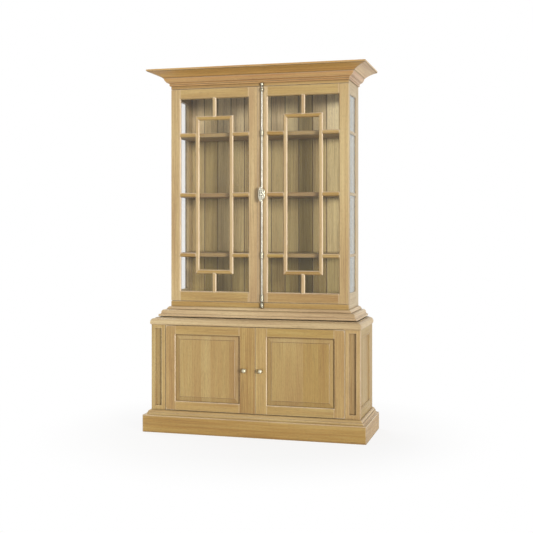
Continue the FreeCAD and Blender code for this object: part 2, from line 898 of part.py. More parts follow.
def glazed_door():
    """The right glazed door: frame, fretwork, pane, beads and fittings, each a list of solids."""
    opening = moved(opening_cutter(opening_inner, opening_outer, opening_foot, opening_head,
                                   sticking, sticking_step, door_board + overrun), 0, upper_front, 0)
    rebate_space = box(opening_inner - rebate, opening_outer + rebate, glass_front, door_back + overrun,
                       opening_foot - rebate, opening_head + rebate)
    plates, rooms = upper_door_hinges()
    upper_catches = catch_places()[0]
    disc = strike(upper_catches[1], door_back)
    members = [box(door_inner, opening_inner, upper_front, door_back, door_foot, door_head),
               box(opening_outer, door_outer, upper_front, door_back, door_foot, door_head),
               box(opening_inner, opening_outer, upper_front, door_back, door_foot, opening_foot),
               box(opening_inner, opening_outer, upper_front, door_back, opening_head, door_head)]
    frame = [cut_all(member.cut(opening).cut(rebate_space), plates + rooms + [disc]) for member in members]
    pane = box(opening_inner - glass_hold, opening_outer + glass_hold, glass_front, glass_back,
               opening_foot - glass_hold, opening_head + glass_hold)
    return frame, fretwork(frame), [pane], glazing_beads(), plates + [disc]


def fretwork(frame):
    """Twelve bars: a mitred tall rectangle and the stubs that tie it to the door's frame."""
    middle = (opening_inner + opening_outer) / 2
    left = middle - lattice_width / 2
    right = middle + lattice_width / 2
    foot = opening_foot + lattice_margin
    head = opening_head - lattice_margin
    depth = front_lip
    ring = []
    for x0, x1 in ((left, left + bar_width), (right - bar_width, right)):
        bar = moulded_bar(x0, x1, foot, head, True, sticking, sticking_step, depth)
        out, inn = (x0, x1) if x0 == left else (x1, x0)
        plan = [(out, foot), (inn, foot + bar_width), (inn, head - bar_width), (out, head)]
        ring.append(bar.common(prism(plan, lambda x, z: V(x, -overrun, z), V(0, depth + 2 * overrun, 0))))
    for z0, z1 in ((foot, foot + bar_width), (head - bar_width, head)):
        bar = moulded_bar(left, right, z0, z1, False, sticking, sticking_step, depth)
        out, inn = (z0, z1) if z0 == foot else (z1, z0)
        plan = [(left, out), (left + bar_width, inn), (right - bar_width, inn), (right, out)]
        ring.append(bar.common(prism(plan, lambda x, z: V(x, -overrun, z), V(0, depth + 2 * overrun, 0))))
    half = bar_width / 2
    stubs = [moulded_bar(middle - half, middle + half, opening_foot - sticking, foot + sticking,
                         True, sticking, sticking_step, depth),
             moulded_bar(middle - half, middle + half, head - sticking, opening_head + sticking,
                         True, sticking, sticking_step, depth)]
    for level in shelf_levels:
        stubs.append(moulded_bar(opening_inner - sticking, left + sticking, level - half, level + half,
                                 False, sticking, sticking_step, depth))
        stubs.append(moulded_bar(right - sticking, opening_outer + sticking, level - half, level + half,
                                 False, sticking, sticking_step, depth))
    ring = [only_solid(moved(bar, 0, upper_front, 0)) for bar in ring]
    stubs = [cut_all(moved(stub, 0, upper_front, 0), frame + ring) for stub in stubs]
    return ring + stubs


def glazing_beads():
    """Four mitred beads that hold the pane from behind."""
    x0 = opening_inner - rebate
    x1 = opening_outer + rebate
    z0 = opening_foot - rebate
    z1 = opening_head + rebate
    section = [(0, glass_back), (rebate, glass_back), (rebate, door_back - bead_chamfer),
               (rebate - bead_chamfer, door_back), (0, door_back)]
    beads = []
    for line, inward in ((x0, 1), (x1, -1)):
        run = prism(section, lambda d, y: V(line + inward * d, y, z0), V(0, 0, z1 - z0))
        plan = [(line, z0), (line + inward * rebate, z0 + rebate), (line + inward * rebate, z1 - rebate), (line, z1)]
        mitre = prism(plan, lambda x, z: V(x, glass_back - overrun, z), V(0, door_board, 0))
        beads.append(only_solid(run.common(mitre)))
    for line, inward in ((z0, 1), (z1, -1)):
        run = prism(section, lambda d, y: V(x0, y, line + inward * d), V(x1 - x0, 0, 0))
        plan = [(x0, line), (x0 + rebate, line + inward * rebate), (x1 - rebate, line + inward * rebate), (x1, line)]
        mitre = prism(plan, lambda x, z: V(x, glass_back - overrun, z), V(0, door_board, 0))
        beads.append(only_solid(run.common(mitre)))
    return beads


def panelled_door(inner_edge):
    """A right-hand panelled door whose meeting edge is at inner_edge."""
    x0 = lower_meeting_reach
    x1 = lower_door_outer - lower_stile
    z0 = lower_door_foot + lower_rail
    z1 = lower_door_head - lower_rail
    opening = moved(opening_cutter(x0, x1, z0, z1, lower_sticking, lower_sticking_step,
                                   lower_door_board + overrun), 0, lower_front, 0)
    tongue_back = lower_front + panel_recess + panel_board
    tongue_front = tongue_back - panel_tongue
    groove = box(x0 - groove_depth, x1 + groove_depth, tongue_front, tongue_back,
                 z0 - groove_depth, z1 + groove_depth)
    plates, rooms = lower_door_hinges()
    disc = strike(catch_places()[1][1], lower_door_back)
    outer_stile = box(x1, lower_door_outer, lower_front, lower_door_back, lower_door_foot, lower_door_head)
    arris = [edge for edge in outer_stile.Edges
             if edge.BoundBox.XMin > lower_door_outer - door_arris
             and edge.BoundBox.YMax < lower_front + door_arris]
    outer_stile = outer_stile.makeFillet(door_arris, arris)
    members = [box(inner_edge, x0, lower_front, lower_door_back, lower_door_foot, lower_door_head),
               outer_stile,
               box(x0, x1, lower_front, lower_door_back, lower_door_foot, z0),
               box(x0, x1, lower_front, lower_door_back, z1, lower_door_head)]
    frame = [cut_all(member.cut(opening).cut(groove), plates + rooms + [disc, knob_screw()]) for member in members]
    return frame, raised_panel(x0, x1, z0, z1, tongue_front, tongue_back), plates + [disc]


def raised_panel(x0, x1, z0, z1, tongue_front, tongue_back):
    """The fielded panel of a lower door: a raised field, a bevel round it and a tongue."""
    reach = groove_depth - panel_play
    slab = box(x0 - reach, x1 + reach, tongue_front, tongue_back, z0 - reach, z1 + reach)
    field_front = lower_front + panel_recess
    bevel_head = field_front + panel_field_step
    bevel_foot = bevel_head + panel_bevel_fall

    def ring(margin, y):
        corners = [(x0 + margin, z0 + margin), (x1 - margin, z0 + margin),
                   (x1 - margin, z1 - margin), (x0 + margin, z1 - margin)]
        return outline_wire(corners, lambda x, z: V(x, y, z))

    bevel = Part.makeLoft([ring(panel_bevel, bevel_head), ring(0, bevel_foot)], True, True)
    under = box(x0, x1, bevel_foot, tongue_back, z0, z1)
    field = box(x0 + panel_bevel, x1 - panel_bevel, field_front, bevel_head, z0 + panel_bevel, z1 - panel_bevel)
    return only_solid(slab.fuse([under, bevel, field]).removeSplitter())


def knob_screw():
    """The screw that holds a knob from inside the door."""
    start = V(knob_offset, lower_door_back, lower_middle)
    shank = rod(start, V(0, -1, 0), screw_radius, lower_door_board + knob_rose_height + knob_neck_length)
    head = rod(start, V(0, -1, 0), screw_head_radius, screw_head_height)
    return shank.fuse(head).removeSplitter()


def door_knob():
    """A turned knob with a small rose under its neck."""
    ball_foot = knob_rose_height + knob_neck_length
    profile = [(0, 0), (knob_rose_radius, 0), (knob_rose_radius, knob_rose_rim),
               (knob_neck_radius, knob_rose_height, "run"),
               (knob_neck_radius, ball_foot),
               (knob_radius, ball_foot + knob_under_height, "run"),
               (0, knob_reach, "rise")]
    knob = spun(profile, V(knob_offset, lower_front, lower_middle), V(0, -1, 0))
    return only_solid(knob.cut(knob_screw()))


def bolt_bar(z0, z1, radius):
    """A round bar on the cremone's axis."""
    return rod(V(bolt_offset, rod_axis_y, z0), V(0, 0, 1), radius, z1 - z0)


def guide_stud(z):
    """The stud on a guide's back that holds it in the wood."""
    return rod(V(bolt_offset, upper_front, z), V(0, 1, 0), guide_stud_radius, guide_stud_length)


def turned_guide(z0, z1, play, bead_at_foot, bead_at_head):
    """A sleeve round the rod on a plate with a stud, with a turned bead at either end or both."""
    outer = rod_radius + guide_wall
    reach = outer + guide_bead_swell
    bulge_share = guide_bead_swell / guide_bead
    plate = box(bolt_offset - reach, bolt_offset + reach, upper_front - guide_plate, upper_front, z0, z1)
    foot = box(bolt_offset - outer, bolt_offset + outer, rod_axis_y, upper_front, z0, z1)
    parts = [foot, bolt_bar(z0, z1, outer)]
    for wanted, lowest in ((bead_at_foot, z0), (bead_at_head, z1 - guide_bead)):
        if wanted:
            section = [(rod_radius, 0), (outer, 0), (outer, guide_bead, -bulge_share), (rod_radius, guide_bead)]
            parts.append(spun(section, V(bolt_offset, rod_axis_y, lowest), V(0, 0, 1)))
    before_the_face = box(bolt_offset - reach, bolt_offset + reach, rod_axis_y - reach, upper_front, z0, z1)
    body = plate.fuse(parts).common(before_the_face).fuse(guide_stud((z0 + z1) / 2)).removeSplitter()
    return only_solid(body.cut(bolt_bar(z0 - overrun, z1 + overrun, rod_radius + play)))


def guide_spans():
    """Lowest and highest points of the four guides on the right door."""
    head = door_head - top_guide_drop
    foot = door_foot + bottom_guide_rise
    half = middle_guide_height / 2
    spans = [(head - top_guide_height, head), (foot, foot + bottom_guide_height)]
    return spans + [(level - half, level + half) for level in (shelf_levels[0], shelf_levels[-1])]


def cremone_guides():
    """Four sleeves on the right door: near its head and foot and at the upper and lower bars."""
    return [turned_guide(z0, z1, rod_play, True, True) for z0, z1 in guide_spans()]


def cremone_guide_seats():
    """The holes that the guides' studs need in the door."""
    return [guide_stud((z0 + z1) / 2) for z0, z1 in guide_spans()]


def top_keeper():
    """The socket on the frieze that the upper rod shoots into."""
    foot = frieze_foot + keeper_gap
    return turned_guide(foot, foot + top_keeper_height, keeper_play, False, True)


def bottom_keeper():
    """The socket on the rail under the doors that the lower rod shoots into."""
    head = upper_rail_top - keeper_gap
    return turned_guide(head - bottom_keeper_height, head, keeper_play, True, True)


def stadium(half_width, half_height, y0, y1):
    """An upright bar with round ends, about the middle of the cremone."""
    straight = half_height - half_width
    outline = [(half_width, straight), (-half_width, straight, -half_round_share),
               (-half_width, -straight), (half_width, -straight, -half_round_share)]
    return prism(outline, lambda x, z: V(bolt_offset + x, y0, bolt_middle + z), V(0, y1 - y0, 0))


def casing_screw_places():
    """Offsets of the casing's two screws from the spindle, clear of both racks."""
    return [(-casing_post_side, casing_post_rise), (casing_post_side, -casing_post_rise)]


def cremone_screws():
    """Two screws through the casing into the door."""
    screws = []
    for x, z in casing_screw_places():
        start = V(bolt_offset + x, casing_front, bolt_middle + z)
        head = rod(start, V(0, -1, 0), casing_screw_head_radius, casing_screw_head_height)
        shank = rod(start, V(0, 1, 0), casing_screw_radius, upper_front - casing_front + casing_screw_grip)
        screws.append(head.fuse(shank).removeSplitter())
    return screws


def cremone_casing():
    """The gear case on the door: a flat plate and a hollow oblong cover with two posts for its screws."""
    plate_front = upper_front - casing_plate
    half_width = casing_width / 2
    half_height = casing_height / 2
    plate = stadium(half_width, half_height, plate_front, upper_front)
    cover = stadium(half_width, half_height, casing_front, plate_front)
    rim = [edge for edge in cover.Edges if edge.BoundBox.YMax < casing_front + casing_wall / 2]
    cover = cover.makeFillet(casing_round, rim)
    cavity = stadium(half_width - casing_wall, half_height - casing_wall, casing_front + casing_wall, plate_front)
    posts = [rod(V(bolt_offset + x, casing_front + casing_wall, bolt_middle + z), V(0, 1, 0),
                 casing_post_radius, casing_cavity) for x, z in casing_screw_places()]
    cover = cover.cut(cavity).fuse(posts).removeSplitter()
    rod_hole = bolt_bar(bolt_middle - casing_height, bolt_middle + casing_height, rod_radius + rod_play)
    spindle_hole = rod(V(bolt_offset, casing_front - overrun, bolt_middle), V(0, 1, 0),
                       spindle_radius + rod_play, upper_front - casing_front + 2 * overrun)
    tools = [rod_hole, spindle_hole] + cremone_screws()
    return [cut_all(plate, tools), cut_all(cover, tools)]


def involute_point(base_radius, radius):
    """Polar angle of an involute flank at a radius, counted from its root on the base circle."""
    roll = math.sqrt(max(radius * radius / (base_radius * base_radius) - 1.0, 0.0))
    return roll - math.atan(roll)


def pinion():
    """The small gear on the spindle, with involute flanks."""
    base_radius = gear_pitch_radius * math.cos(math.radians(pressure_angle))
    tip_radius = gear_pitch_radius + gear_module - gear_backlash / 2
    root_radius = gear_pitch_radius - gear_module - gear_backlash
    half_tooth = math.pi / (2 * gear_teeth) - gear_backlash / (2 * gear_pitch_radius)
    at_pitch = involute_point(base_radius, gear_pitch_radius)
    flank_steps = 4
    start_radius = max(base_radius, root_radius)
    radii = [start_radius + (tip_radius - start_radius) * n / flank_steps for n in range(flank_steps + 1)]
    points = []
    for tooth in range(gear_teeth):
        centre = 2 * math.pi * (tooth + 1 / 2) / gear_teeth
        flank = [(radius, half_tooth + at_pitch - involute_point(base_radius, radius)) for radius in radii]
        root_angle = flank[0][1]
        points.append((root_radius, centre - root_angle))
        points += [(radius, centre - angle) for radius, angle in flank]
        points += [(radius, centre + angle) for radius, angle in reversed(flank)]
        points.append((root_radius, centre + root_angle))
    outline = [(radius * math.cos(angle), radius * math.sin(angle)) for radius, angle in points]
    y0 = rod_axis_y - gear_thickness / 2
    return prism(outline, lambda x, z: V(bolt_offset + x, y0, bolt_middle + z), V(0, gear_thickness, 0))


def rack_outline(first_tooth, last_tooth):
    """A rack's outline to the right of the pinion, as (x, z) from the spindle, at mid mesh."""
    pitch = math.pi * gear_module
    tip = gear_pitch_radius - gear_module + gear_backlash / 2
    root = gear_pitch_radius + gear_module + gear_backlash
    slope = math.tan(math.radians(pressure_angle))
    half_at_pitch = pitch / 4 - gear_backlash / 2
    outer = root + rack_back
    low = (first_tooth - 1 / 2) * pitch
    high = (last_tooth + 1 / 2) * pitch
    points = [(outer, low), (outer, high), (root, high)]
    for tooth in range(last_tooth, first_tooth - 1, -1):
        centre = tooth * pitch
        wide = half_at_pitch + (root - gear_pitch_radius) * slope
        narrow = half_at_pitch - (gear_pitch_radius - tip) * slope
        points += [(root, centre + wide), (tip, centre + narrow), (tip, centre - narrow), (root, centre - wide)]
    return points + [(root, low)]


def cremone_rod(up):
    """One rod of the cremone at rest, from its tip to the rack on its inner end.

    The upper rod's rack runs on the right of the pinion and the lower rod's on the left.
    """
    pitch = math.pi * gear_module
    below = math.ceil((rod_travel + rack_spare) / pitch)
    above = math.ceil(rack_spare / pitch)
    rack = prism(rack_outline(-below, above),
                 lambda x, z: V(bolt_offset + up * x, rod_axis_y - gear_thickness / 2, bolt_middle + up * z),
                 V(0, gear_thickness, 0))
    rack_outer = gear_pitch_radius + gear_module + gear_backlash + rack_back
    bridge_low = gear_pitch_radius + gear_module + rack_bridge_gap
    rack_head = (above + 1 / 2) * pitch
    neck = box(gear_pitch_radius + gear_module + gear_backlash, rack_outer, -gear_thickness / 2,
               gear_thickness / 2, rack_head, bridge_low + rack_bridge)
    bridge = box(0, rack_outer, -gear_thickness / 2, gear_thickness / 2, bridge_low, bridge_low + rack_bridge)
    foot = neck.fuse(bridge)
    if up < 0:
        foot.rotate(V(0, 0, 0), V(0, 1, 0), 180)
    foot.translate(V(bolt_offset, rod_axis_y, bolt_middle))
    tip = door_head - rod_tip_inset if up > 0 else door_foot + rod_tip_inset
    length = abs(tip - bolt_middle) - bridge_low
    bar = spun([(0, 0), (rod_radius, 0), (rod_radius, length - rod_tip_round),
                (rod_radius - rod_tip_round, length, "rise"), (0, length)],
               V(bolt_offset, rod_axis_y, bolt_middle + up * bridge_low), V(0, 0, up))
    return only_solid(bar.fuse([foot, rack]).removeSplitter())


def upright_ellipse(half_length, half_width, y):
    """An ellipse about the middle of the cremone, taller than wide."""
    centre = V(bolt_offset, y, bolt_middle)
    return Part.Ellipse(centre + V(0, 0, half_length), centre + V(half_width, 0, 0), centre).toShape()


def oval_prism(half_length, half_width, y0, y1):
    """An upright elliptic disc about the middle of the cremone."""
    return Part.Face(Part.Wire(upright_ellipse(half_length, half_width, y0))).extrude(V(0, y1 - y0, 0))


def cremone_handle():
    """The turn handle: a pierced oval with a beaded rim, on a spindle that carries the pinion."""
    handle_back = casing_front - spindle_collar_play - spindle_reach
    handle_front = handle_back - handle_thickness
    half_length = handle_length / 2
    half_width = handle_width / 2
    disc = oval_prism(half_length, half_width, handle_front, handle_back)
    rims = [edge for edge in disc.Edges if edge.BoundBox.YLength < handle_edge]
    disc = disc.makeFillet(handle_edge, rims)
    hole = oval_prism(half_length - handle_ring_width, half_width - handle_ring_width,
                      handle_front - overrun, handle_back + overrun)
    rim_length = half_length - handle_ring_width / 2
    rim_width = half_width - handle_ring_width / 2
    bar_front = handle_front + handle_edge
    bar_back = handle_back - handle_edge
    spindle_end = upper_front - spindle_end_room
    turned = [(0, 0), (handle_boss_radius, 0), (handle_boss_radius, handle_thickness),
              (0, handle_thickness + handle_boss_height, "rise")]
    parts = [box(bolt_offset - handle_spoke_width / 2, bolt_offset + handle_spoke_width / 2,
                 bar_front, bar_back, bolt_middle - rim_length, bolt_middle + rim_length),
             rod(V(bolt_offset, handle_back, bolt_middle), V(0, 1, 0), spindle_radius, spindle_end - handle_back),
             rod(V(bolt_offset, handle_back, bolt_middle), V(0, 1, 0), spindle_collar_radius, spindle_reach),
             spun(turned, V(bolt_offset, handle_back, bolt_middle), V(0, -1, 0)),
             pinion()]
    for share in handle_bar_shares:
        height = bolt_middle + share * rim_length
        reach = rim_width * math.sqrt(1 - share * share)
        parts.append(box(bolt_offset - reach, bolt_offset + reach, bar_front, bar_back,
                         height - handle_bar_height / 2, height + handle_bar_height / 2))
    rim = upright_ellipse(rim_length, rim_width, handle_front + handle_bead_sink)
    bead = [(0, 0), (handle_bead_radius, 0), (handle_bead_radius, handle_bead_sink),
            (0, handle_bead_sink + handle_bead_height, "rise")]
    for centre in rim.discretize(Number=handle_bead_count + 1)[1:]:
        parts.append(spun(bead, centre, V(0, -1, 0)))
    return only_solid(disc.cut(hole).fuse(parts).removeSplitter())


def both_sides(name, right_solids):
    """Nodes of a left and a right assembly, from the right one."""
    return {name.format("right"): right_solids,
            name.format("left"): [mirrored(solid) for solid in right_solids]}


def plinth_nodes():
    """The plinth and the moulding on it."""
    return {"plinth_boards": plinth_boards(), "plinth_back": [plinth_back()],
            "plinth_bearers": plinth_bearers(), "base_moulding": base_moulding()}


def lower_case_nodes():
    """The lower case without its doors."""
    frame, panel = lower_side()
    nodes = {"base_floor": [lower_floor()], "base_back": [lower_back()], "base_shelf": [lower_shelf()],
             "base_shelf_bearers": lower_shelf_bearers(), "base_top": [lower_top()]}
    nodes.update(both_sides("{}_pilaster", [pilaster()]))
    nodes.update(both_sides("{}_base_side_frame", frame))
    nodes.update(both_sides("{}_base_side_panel", [panel]))
    return nodes


def upper_case_nodes():
    """The upper case without its doors."""
    frame, pane = upper_side()
    nodes = {"waist_moulding": waist_moulding(), "upper_floor": [upper_floor()],
             "upper_bottom_rail": [upper_bottom_rail()], "frieze_rail": [frieze_rail()],
             "back_planks": back_planks(), "upper_top": [upper_top()],
             "cornice_crown": cornice_crown(), "cornice_bed_moulding": cornice_bed()}
    for name, level in zip(("shelf_lower", "shelf_middle", "shelf_upper"), shelf_levels):
        nodes[name] = [upper_shelf(level)]
    nodes.update(both_sides("{}_upper_side_frame", frame))
    nodes.update(both_sides("{}_upper_side_glass", [pane]))
    return nodes


def fitting_nodes():
    """Small metal and wooden fittings that belong to the cases."""
    return {"shelf_pins": shelf_pins(), "case_bolts": case_bolts(), "door_stops": door_stops(),
            "catch_magnets": catch_magnets(), "case_hinges": upper_case_hinges() + lower_case_hinges(),
            "cremone_keepers": [top_keeper(), bottom_keeper()]}


def upper_door_nodes():
    """Both glazed doors; the right one's frame also has the seats of the cremone bolt."""
    frame, bars, pane, beads, fittings = glazed_door()
    nodes = both_sides("{}_glazed_door_frame", frame)
    bored = [cut_all(member, cremone_guide_seats() + cremone_screws()) for member in frame]
    nodes["right_glazed_door_frame"] = bored
    nodes.update(both_sides("{}_glazed_door_fretwork", bars))
    nodes.update(both_sides("{}_glazed_door_glass", pane))
    nodes.update(both_sides("{}_glazed_door_beads", beads))
    nodes.update(both_sides("{}_glazed_door_fittings", fittings))
    return nodes


def lower_door_nodes():
    """Both panelled doors; the left one's meeting stile is wider."""
    half_gap = meeting_gap / 2
    nodes = {}
    for side, inner_edge in (("right", lower_meeting_line + half_gap), ("left", -lower_meeting_line + half_gap)):
        frame, panel, fittings = panelled_door(inner_edge)
        pieces = {"frame": frame, "panel": [panel], "fittings": fittings,
                  "knob": [door_knob(), knob_screw()]}
        for name, solids in pieces.items():
            turned = solids if side == "right" else [mirrored(solid) for solid in solids]
            nodes[side + "_panelled_door_" + name] = turned
    return nodes


def cremone_nodes():
    """The bolt on the right glazed door."""
    return {"cremone_casing": cremone_casing(), "cremone_guides": cremone_guides(),
            "cremone_screws": cremone_screws(),
            "cremone_handle": [cremone_handle()], "cremone_upper_rod": [cremone_rod(1)],
            "cremone_lower_rod": [cremone_rod(-1)]}


def write_nodes():
    """One STEP file for each named piece."""
    nodes = {}
    for group in (plinth_nodes, lower_case_nodes, upper_case_nodes, fitting_nodes,
                  upper_door_nodes, lower_door_nodes, cremone_nodes):
        nodes.update(group())
    for name, solids in nodes.items():
        whole = solids[0] if len(solids) == 1 else Part.makeCompound(solids)
        if not whole.isValid():
            print("not valid:", name)
        whole.exportStep("parts/" + name + ".step")
    print(len(nodes), "nodes; each rod travels", round(rod_travel, 3))


write_nodes()
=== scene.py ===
# %% [markdown]
# A glazed oak bookcase in two parts: a panelled cupboard below, and above it a case with two glazed doors, whose
# panes lie behind a fretwork of moulded bars. A cremone bolt with a turn handle holds the right glazed door.
#
# The solids come from CAD, at their real size. This notebook gives them their looks: softened edges, the grain of
# every single board, old glass, polished metal, a studio and the camera. It loads the solids first.

# %% Load the solids
import json
import math
import random
import bmesh
import bpy
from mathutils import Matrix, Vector

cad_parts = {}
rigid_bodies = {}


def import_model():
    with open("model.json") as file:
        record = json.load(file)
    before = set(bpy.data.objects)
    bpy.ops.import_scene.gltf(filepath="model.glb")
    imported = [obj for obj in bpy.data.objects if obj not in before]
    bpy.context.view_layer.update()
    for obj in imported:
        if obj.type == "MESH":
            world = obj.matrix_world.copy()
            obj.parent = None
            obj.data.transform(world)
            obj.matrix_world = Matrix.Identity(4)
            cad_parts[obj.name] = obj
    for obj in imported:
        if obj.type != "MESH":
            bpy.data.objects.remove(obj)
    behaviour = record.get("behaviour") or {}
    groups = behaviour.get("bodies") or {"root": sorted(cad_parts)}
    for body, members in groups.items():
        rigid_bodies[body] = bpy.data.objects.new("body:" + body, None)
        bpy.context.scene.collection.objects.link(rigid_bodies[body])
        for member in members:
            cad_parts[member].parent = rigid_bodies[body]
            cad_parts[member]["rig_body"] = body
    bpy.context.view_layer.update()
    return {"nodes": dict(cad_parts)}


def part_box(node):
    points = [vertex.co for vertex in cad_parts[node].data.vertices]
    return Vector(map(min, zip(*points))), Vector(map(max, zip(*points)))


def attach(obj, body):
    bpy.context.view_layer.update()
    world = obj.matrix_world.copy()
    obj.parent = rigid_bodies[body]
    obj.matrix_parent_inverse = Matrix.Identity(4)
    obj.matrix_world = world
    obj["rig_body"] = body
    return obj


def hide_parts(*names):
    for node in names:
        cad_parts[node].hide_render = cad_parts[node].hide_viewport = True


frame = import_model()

# %% [markdown]
# The camera stands where the photographer stood: 6.4 m away, a little to the right, 1.34 m up and level. A level
# camera keeps the upright edges parallel. The whole bookcase is brought into the picture by shifting the sensor,
# as an architect's camera does, and not by tilting it.

# %% The camera
STAND = (1.7408, -6.1895, 1.3430)
LEVEL, TURNED_LEFT = math.radians(90.0), math.radians(15.425)
lens = bpy.data.cameras.new("studio_camera")
lens.sensor_width = 36.0
lens.lens = 65.15
lens.shift_y = -0.0713
camera = bpy.data.objects.new("studio_camera", lens)
camera.location = STAND
camera.rotation_euler = (LEVEL, 0.0, TURNED_LEFT)
bpy.context.scene.collection.objects.link(camera)
bpy.context.scene.camera = camera
bpy.context.scene.view_settings.view_transform = "Standard"
print("camera", tuple(round(x, 2) for x in camera.location))

# %% [markdown]
# Every finish below is a small network of shader nodes. Writing them one by one is long, so a helper adds a node,
# sets its options, and fills its inputs with either a value or another node's output. Short helpers for the nodes
# that come up again and again are built on it.


# %% Helpers for shader nodes
def new_material(name):
    """An empty node material and its output node."""
    material = bpy.data.materials.new(name)
    material.use_nodes = True
    material.node_tree.nodes.clear()
    return material, material.node_tree.nodes.new("ShaderNodeOutputMaterial")


def add_node(tree, kind, options=None, inputs=None):
    """A node of one kind, with its options set and its inputs filled."""
    node = tree.nodes.new("ShaderNode" + kind)
    for key, value in (options or {}).items():
        setattr(node, key, value)
    for key, value in (inputs or {}).items():
        if isinstance(value, bpy.types.NodeSocket):
            tree.links.new(value, node.inputs[key])
        else:
            node.inputs[key].default_value = value
    return node


def math_node(tree, operation, first, second=0.0, third=0.0, clamp=False):
    """The result of one sum, product or other operation."""
    options = {"operation": operation, "use_clamp": clamp}
    return add_node(tree, "Math", options, {0: first, 1: second, 2: third}).outputs[0]


def weighted_sum(tree, start, *parts):
    """A start value, plus each of the values times its weight."""
    for value, weight in parts:
        start = math_node(tree, "MULTIPLY_ADD", value, weight, start)
    return start


def vector_node(tree, operation, first, second=(0.0, 0.0, 0.0)):
    """The outputs of one operation on vectors: the first is a vector, and "Value" is a number."""
    return add_node(tree, "VectorMath", {"operation": operation}, {0: first, 1: second}).outputs


def combine(tree, x, y, z):
    """A vector made of three numbers."""
    return add_node(tree, "CombineXYZ", inputs={0: x, 1: y, 2: z}).outputs[0]


def remap(tree, value, low, high, to_low=0.0, to_high=1.0, kind="LINEAR"):
    """A value moved from one range to another, and kept within it."""
    inputs = {"Value": value, "From Min": low, "From Max": high, "To Min": to_low, "To Max": to_high}
    return add_node(tree, "MapRange", {"interpolation_type": kind}, inputs).outputs[0]


def noise(tree, place, scale, detail, roughness=0.5):
    """A cloudy value between 0 and 1."""
    inputs = {"Vector": place, "Scale": scale, "Detail": detail, "Roughness": roughness}
    return add_node(tree, "TexNoise", inputs=inputs).outputs["Fac"]


def openness(tree, distance, **options):
    """How open the surroundings of a spot are within a distance: 0 is closed in and 1 is open."""
    return add_node(tree, "AmbientOcclusion", options, {"Distance": distance}).outputs["AO"]


def mix_colour(tree, share, first, second):
    """Two colours mixed by a share."""
    options = {"data_type": "RGBA", "clamp_factor": True}
    return add_node(tree, "Mix", options, {0: share, 6: first, 7: second}).outputs[2]


def ramp(tree, value, stops):
    """A value turned into a colour or a grey through stops of (place, colour or grey)."""
    node = add_node(tree, "ValToRGB", inputs={0: value})
    marks = node.color_ramp.elements
    while len(marks) < len(stops):
        marks.new(0.5)
    for mark, (place, colour) in zip(marks, stops):
        mark.position = place
        mark.color = (*(colour if isinstance(colour, tuple) else (colour,) * 3), 1.0)
    return node.outputs[0]


print("helpers for materials are ready")

# %% [markdown]
# The studio is white all round. The world is pure white where the camera, a reflection or the view through the
# glass meets it, and dimmer where it only lights the wood, so that the background stays white and the colours of
# the oak stay as they are written. The key lamp is about as wide as a large softbox. It stands on the right and so
# low that its light comes almost level. So it reaches the deep bays through the glass, where the corner post and
# the meeting stiles throw broad soft bands on the back, and it fills the sunk flutes with shadow. A weaker lamp
# behind keeps the far sides from going flat.

# %% World and lamps
WHITE = (1.0, 1.0, 1.0, 1.0)
DIM_WHITE = (0.455, 0.452, 0.448, 1.0)


def seen_directly(tree):
    """1 where the camera, a reflection or the view through the glass meets a surface, and else 0."""
    rays = add_node(tree, "LightPath").outputs
    seen = math_node(tree, "MAXIMUM", rays["Is Camera Ray"], rays["Is Glossy Ray"])
    return math_node(tree, "MAXIMUM", seen, rays["Is Transmission Ray"])


def add_sun(name, azimuth, elevation, strength, softness, colour):
    """A distant lamp; azimuth 0 stands in front of the bookcase and 90 at its right."""
    data = bpy.data.lights.new(name, "SUN")
    data.energy = strength
    data.angle = math.radians(softness)
    data.color = colour
    lamp = bpy.data.objects.new(name, data)
    a, e = math.radians(azimuth), math.radians(elevation)
    towards = Vector((math.sin(a) * math.cos(e), -math.cos(a) * math.cos(e), math.sin(e)))
    lamp.rotation_euler = towards.to_track_quat("Z", "Y").to_euler()
    bpy.context.scene.collection.objects.link(lamp)
    return lamp


world = bpy.data.worlds.new("white_studio")
bpy.context.scene.world = world
world.use_nodes = True
tree = world.node_tree
tree.nodes.clear()
sky = mix_colour(tree, seen_directly(tree), DIM_WHITE, WHITE)
background = add_node(tree, "Background", inputs={"Color": sky, "Strength": 1.0})
world_output = tree.nodes.new("ShaderNodeOutputWorld")
tree.links.new(background.outputs[0], world_output.inputs[0])
key = add_sun("key_lamp", 47.0, 6.0, 2.65, 14.0, (1.0, 0.985, 0.945))
rear = add_sun("rear_lamp", -125.0, 40.0, 1.2, 40.0, (0.97, 0.98, 1.0))
print("lamps:", key.name, key.data.energy, rear.name, rear.data.energy)

# %% [markdown]
# The floor is a pale sheet. Near the bookcase part of it is an ordinary matt surface, which takes the shadow.
# Further out it turns into plain white for the camera, so that no horizon shows against the white background.

# %% The floor
NEAR, FAR = 0.7, 1.6
WHITE_SHARE_NEAR, WHITE_SHARE_FAR = 0.86, 1.0
floor_mesh = bmesh.new()
bmesh.ops.create_grid(floor_mesh, x_segments=1, y_segments=1, size=14.0)
floor_data = bpy.data.meshes.new("studio_floor")
floor_mesh.to_mesh(floor_data)
floor_mesh.free()
floor = bpy.data.objects.new("studio_floor", floor_data)
bpy.context.scene.collection.objects.link(floor)

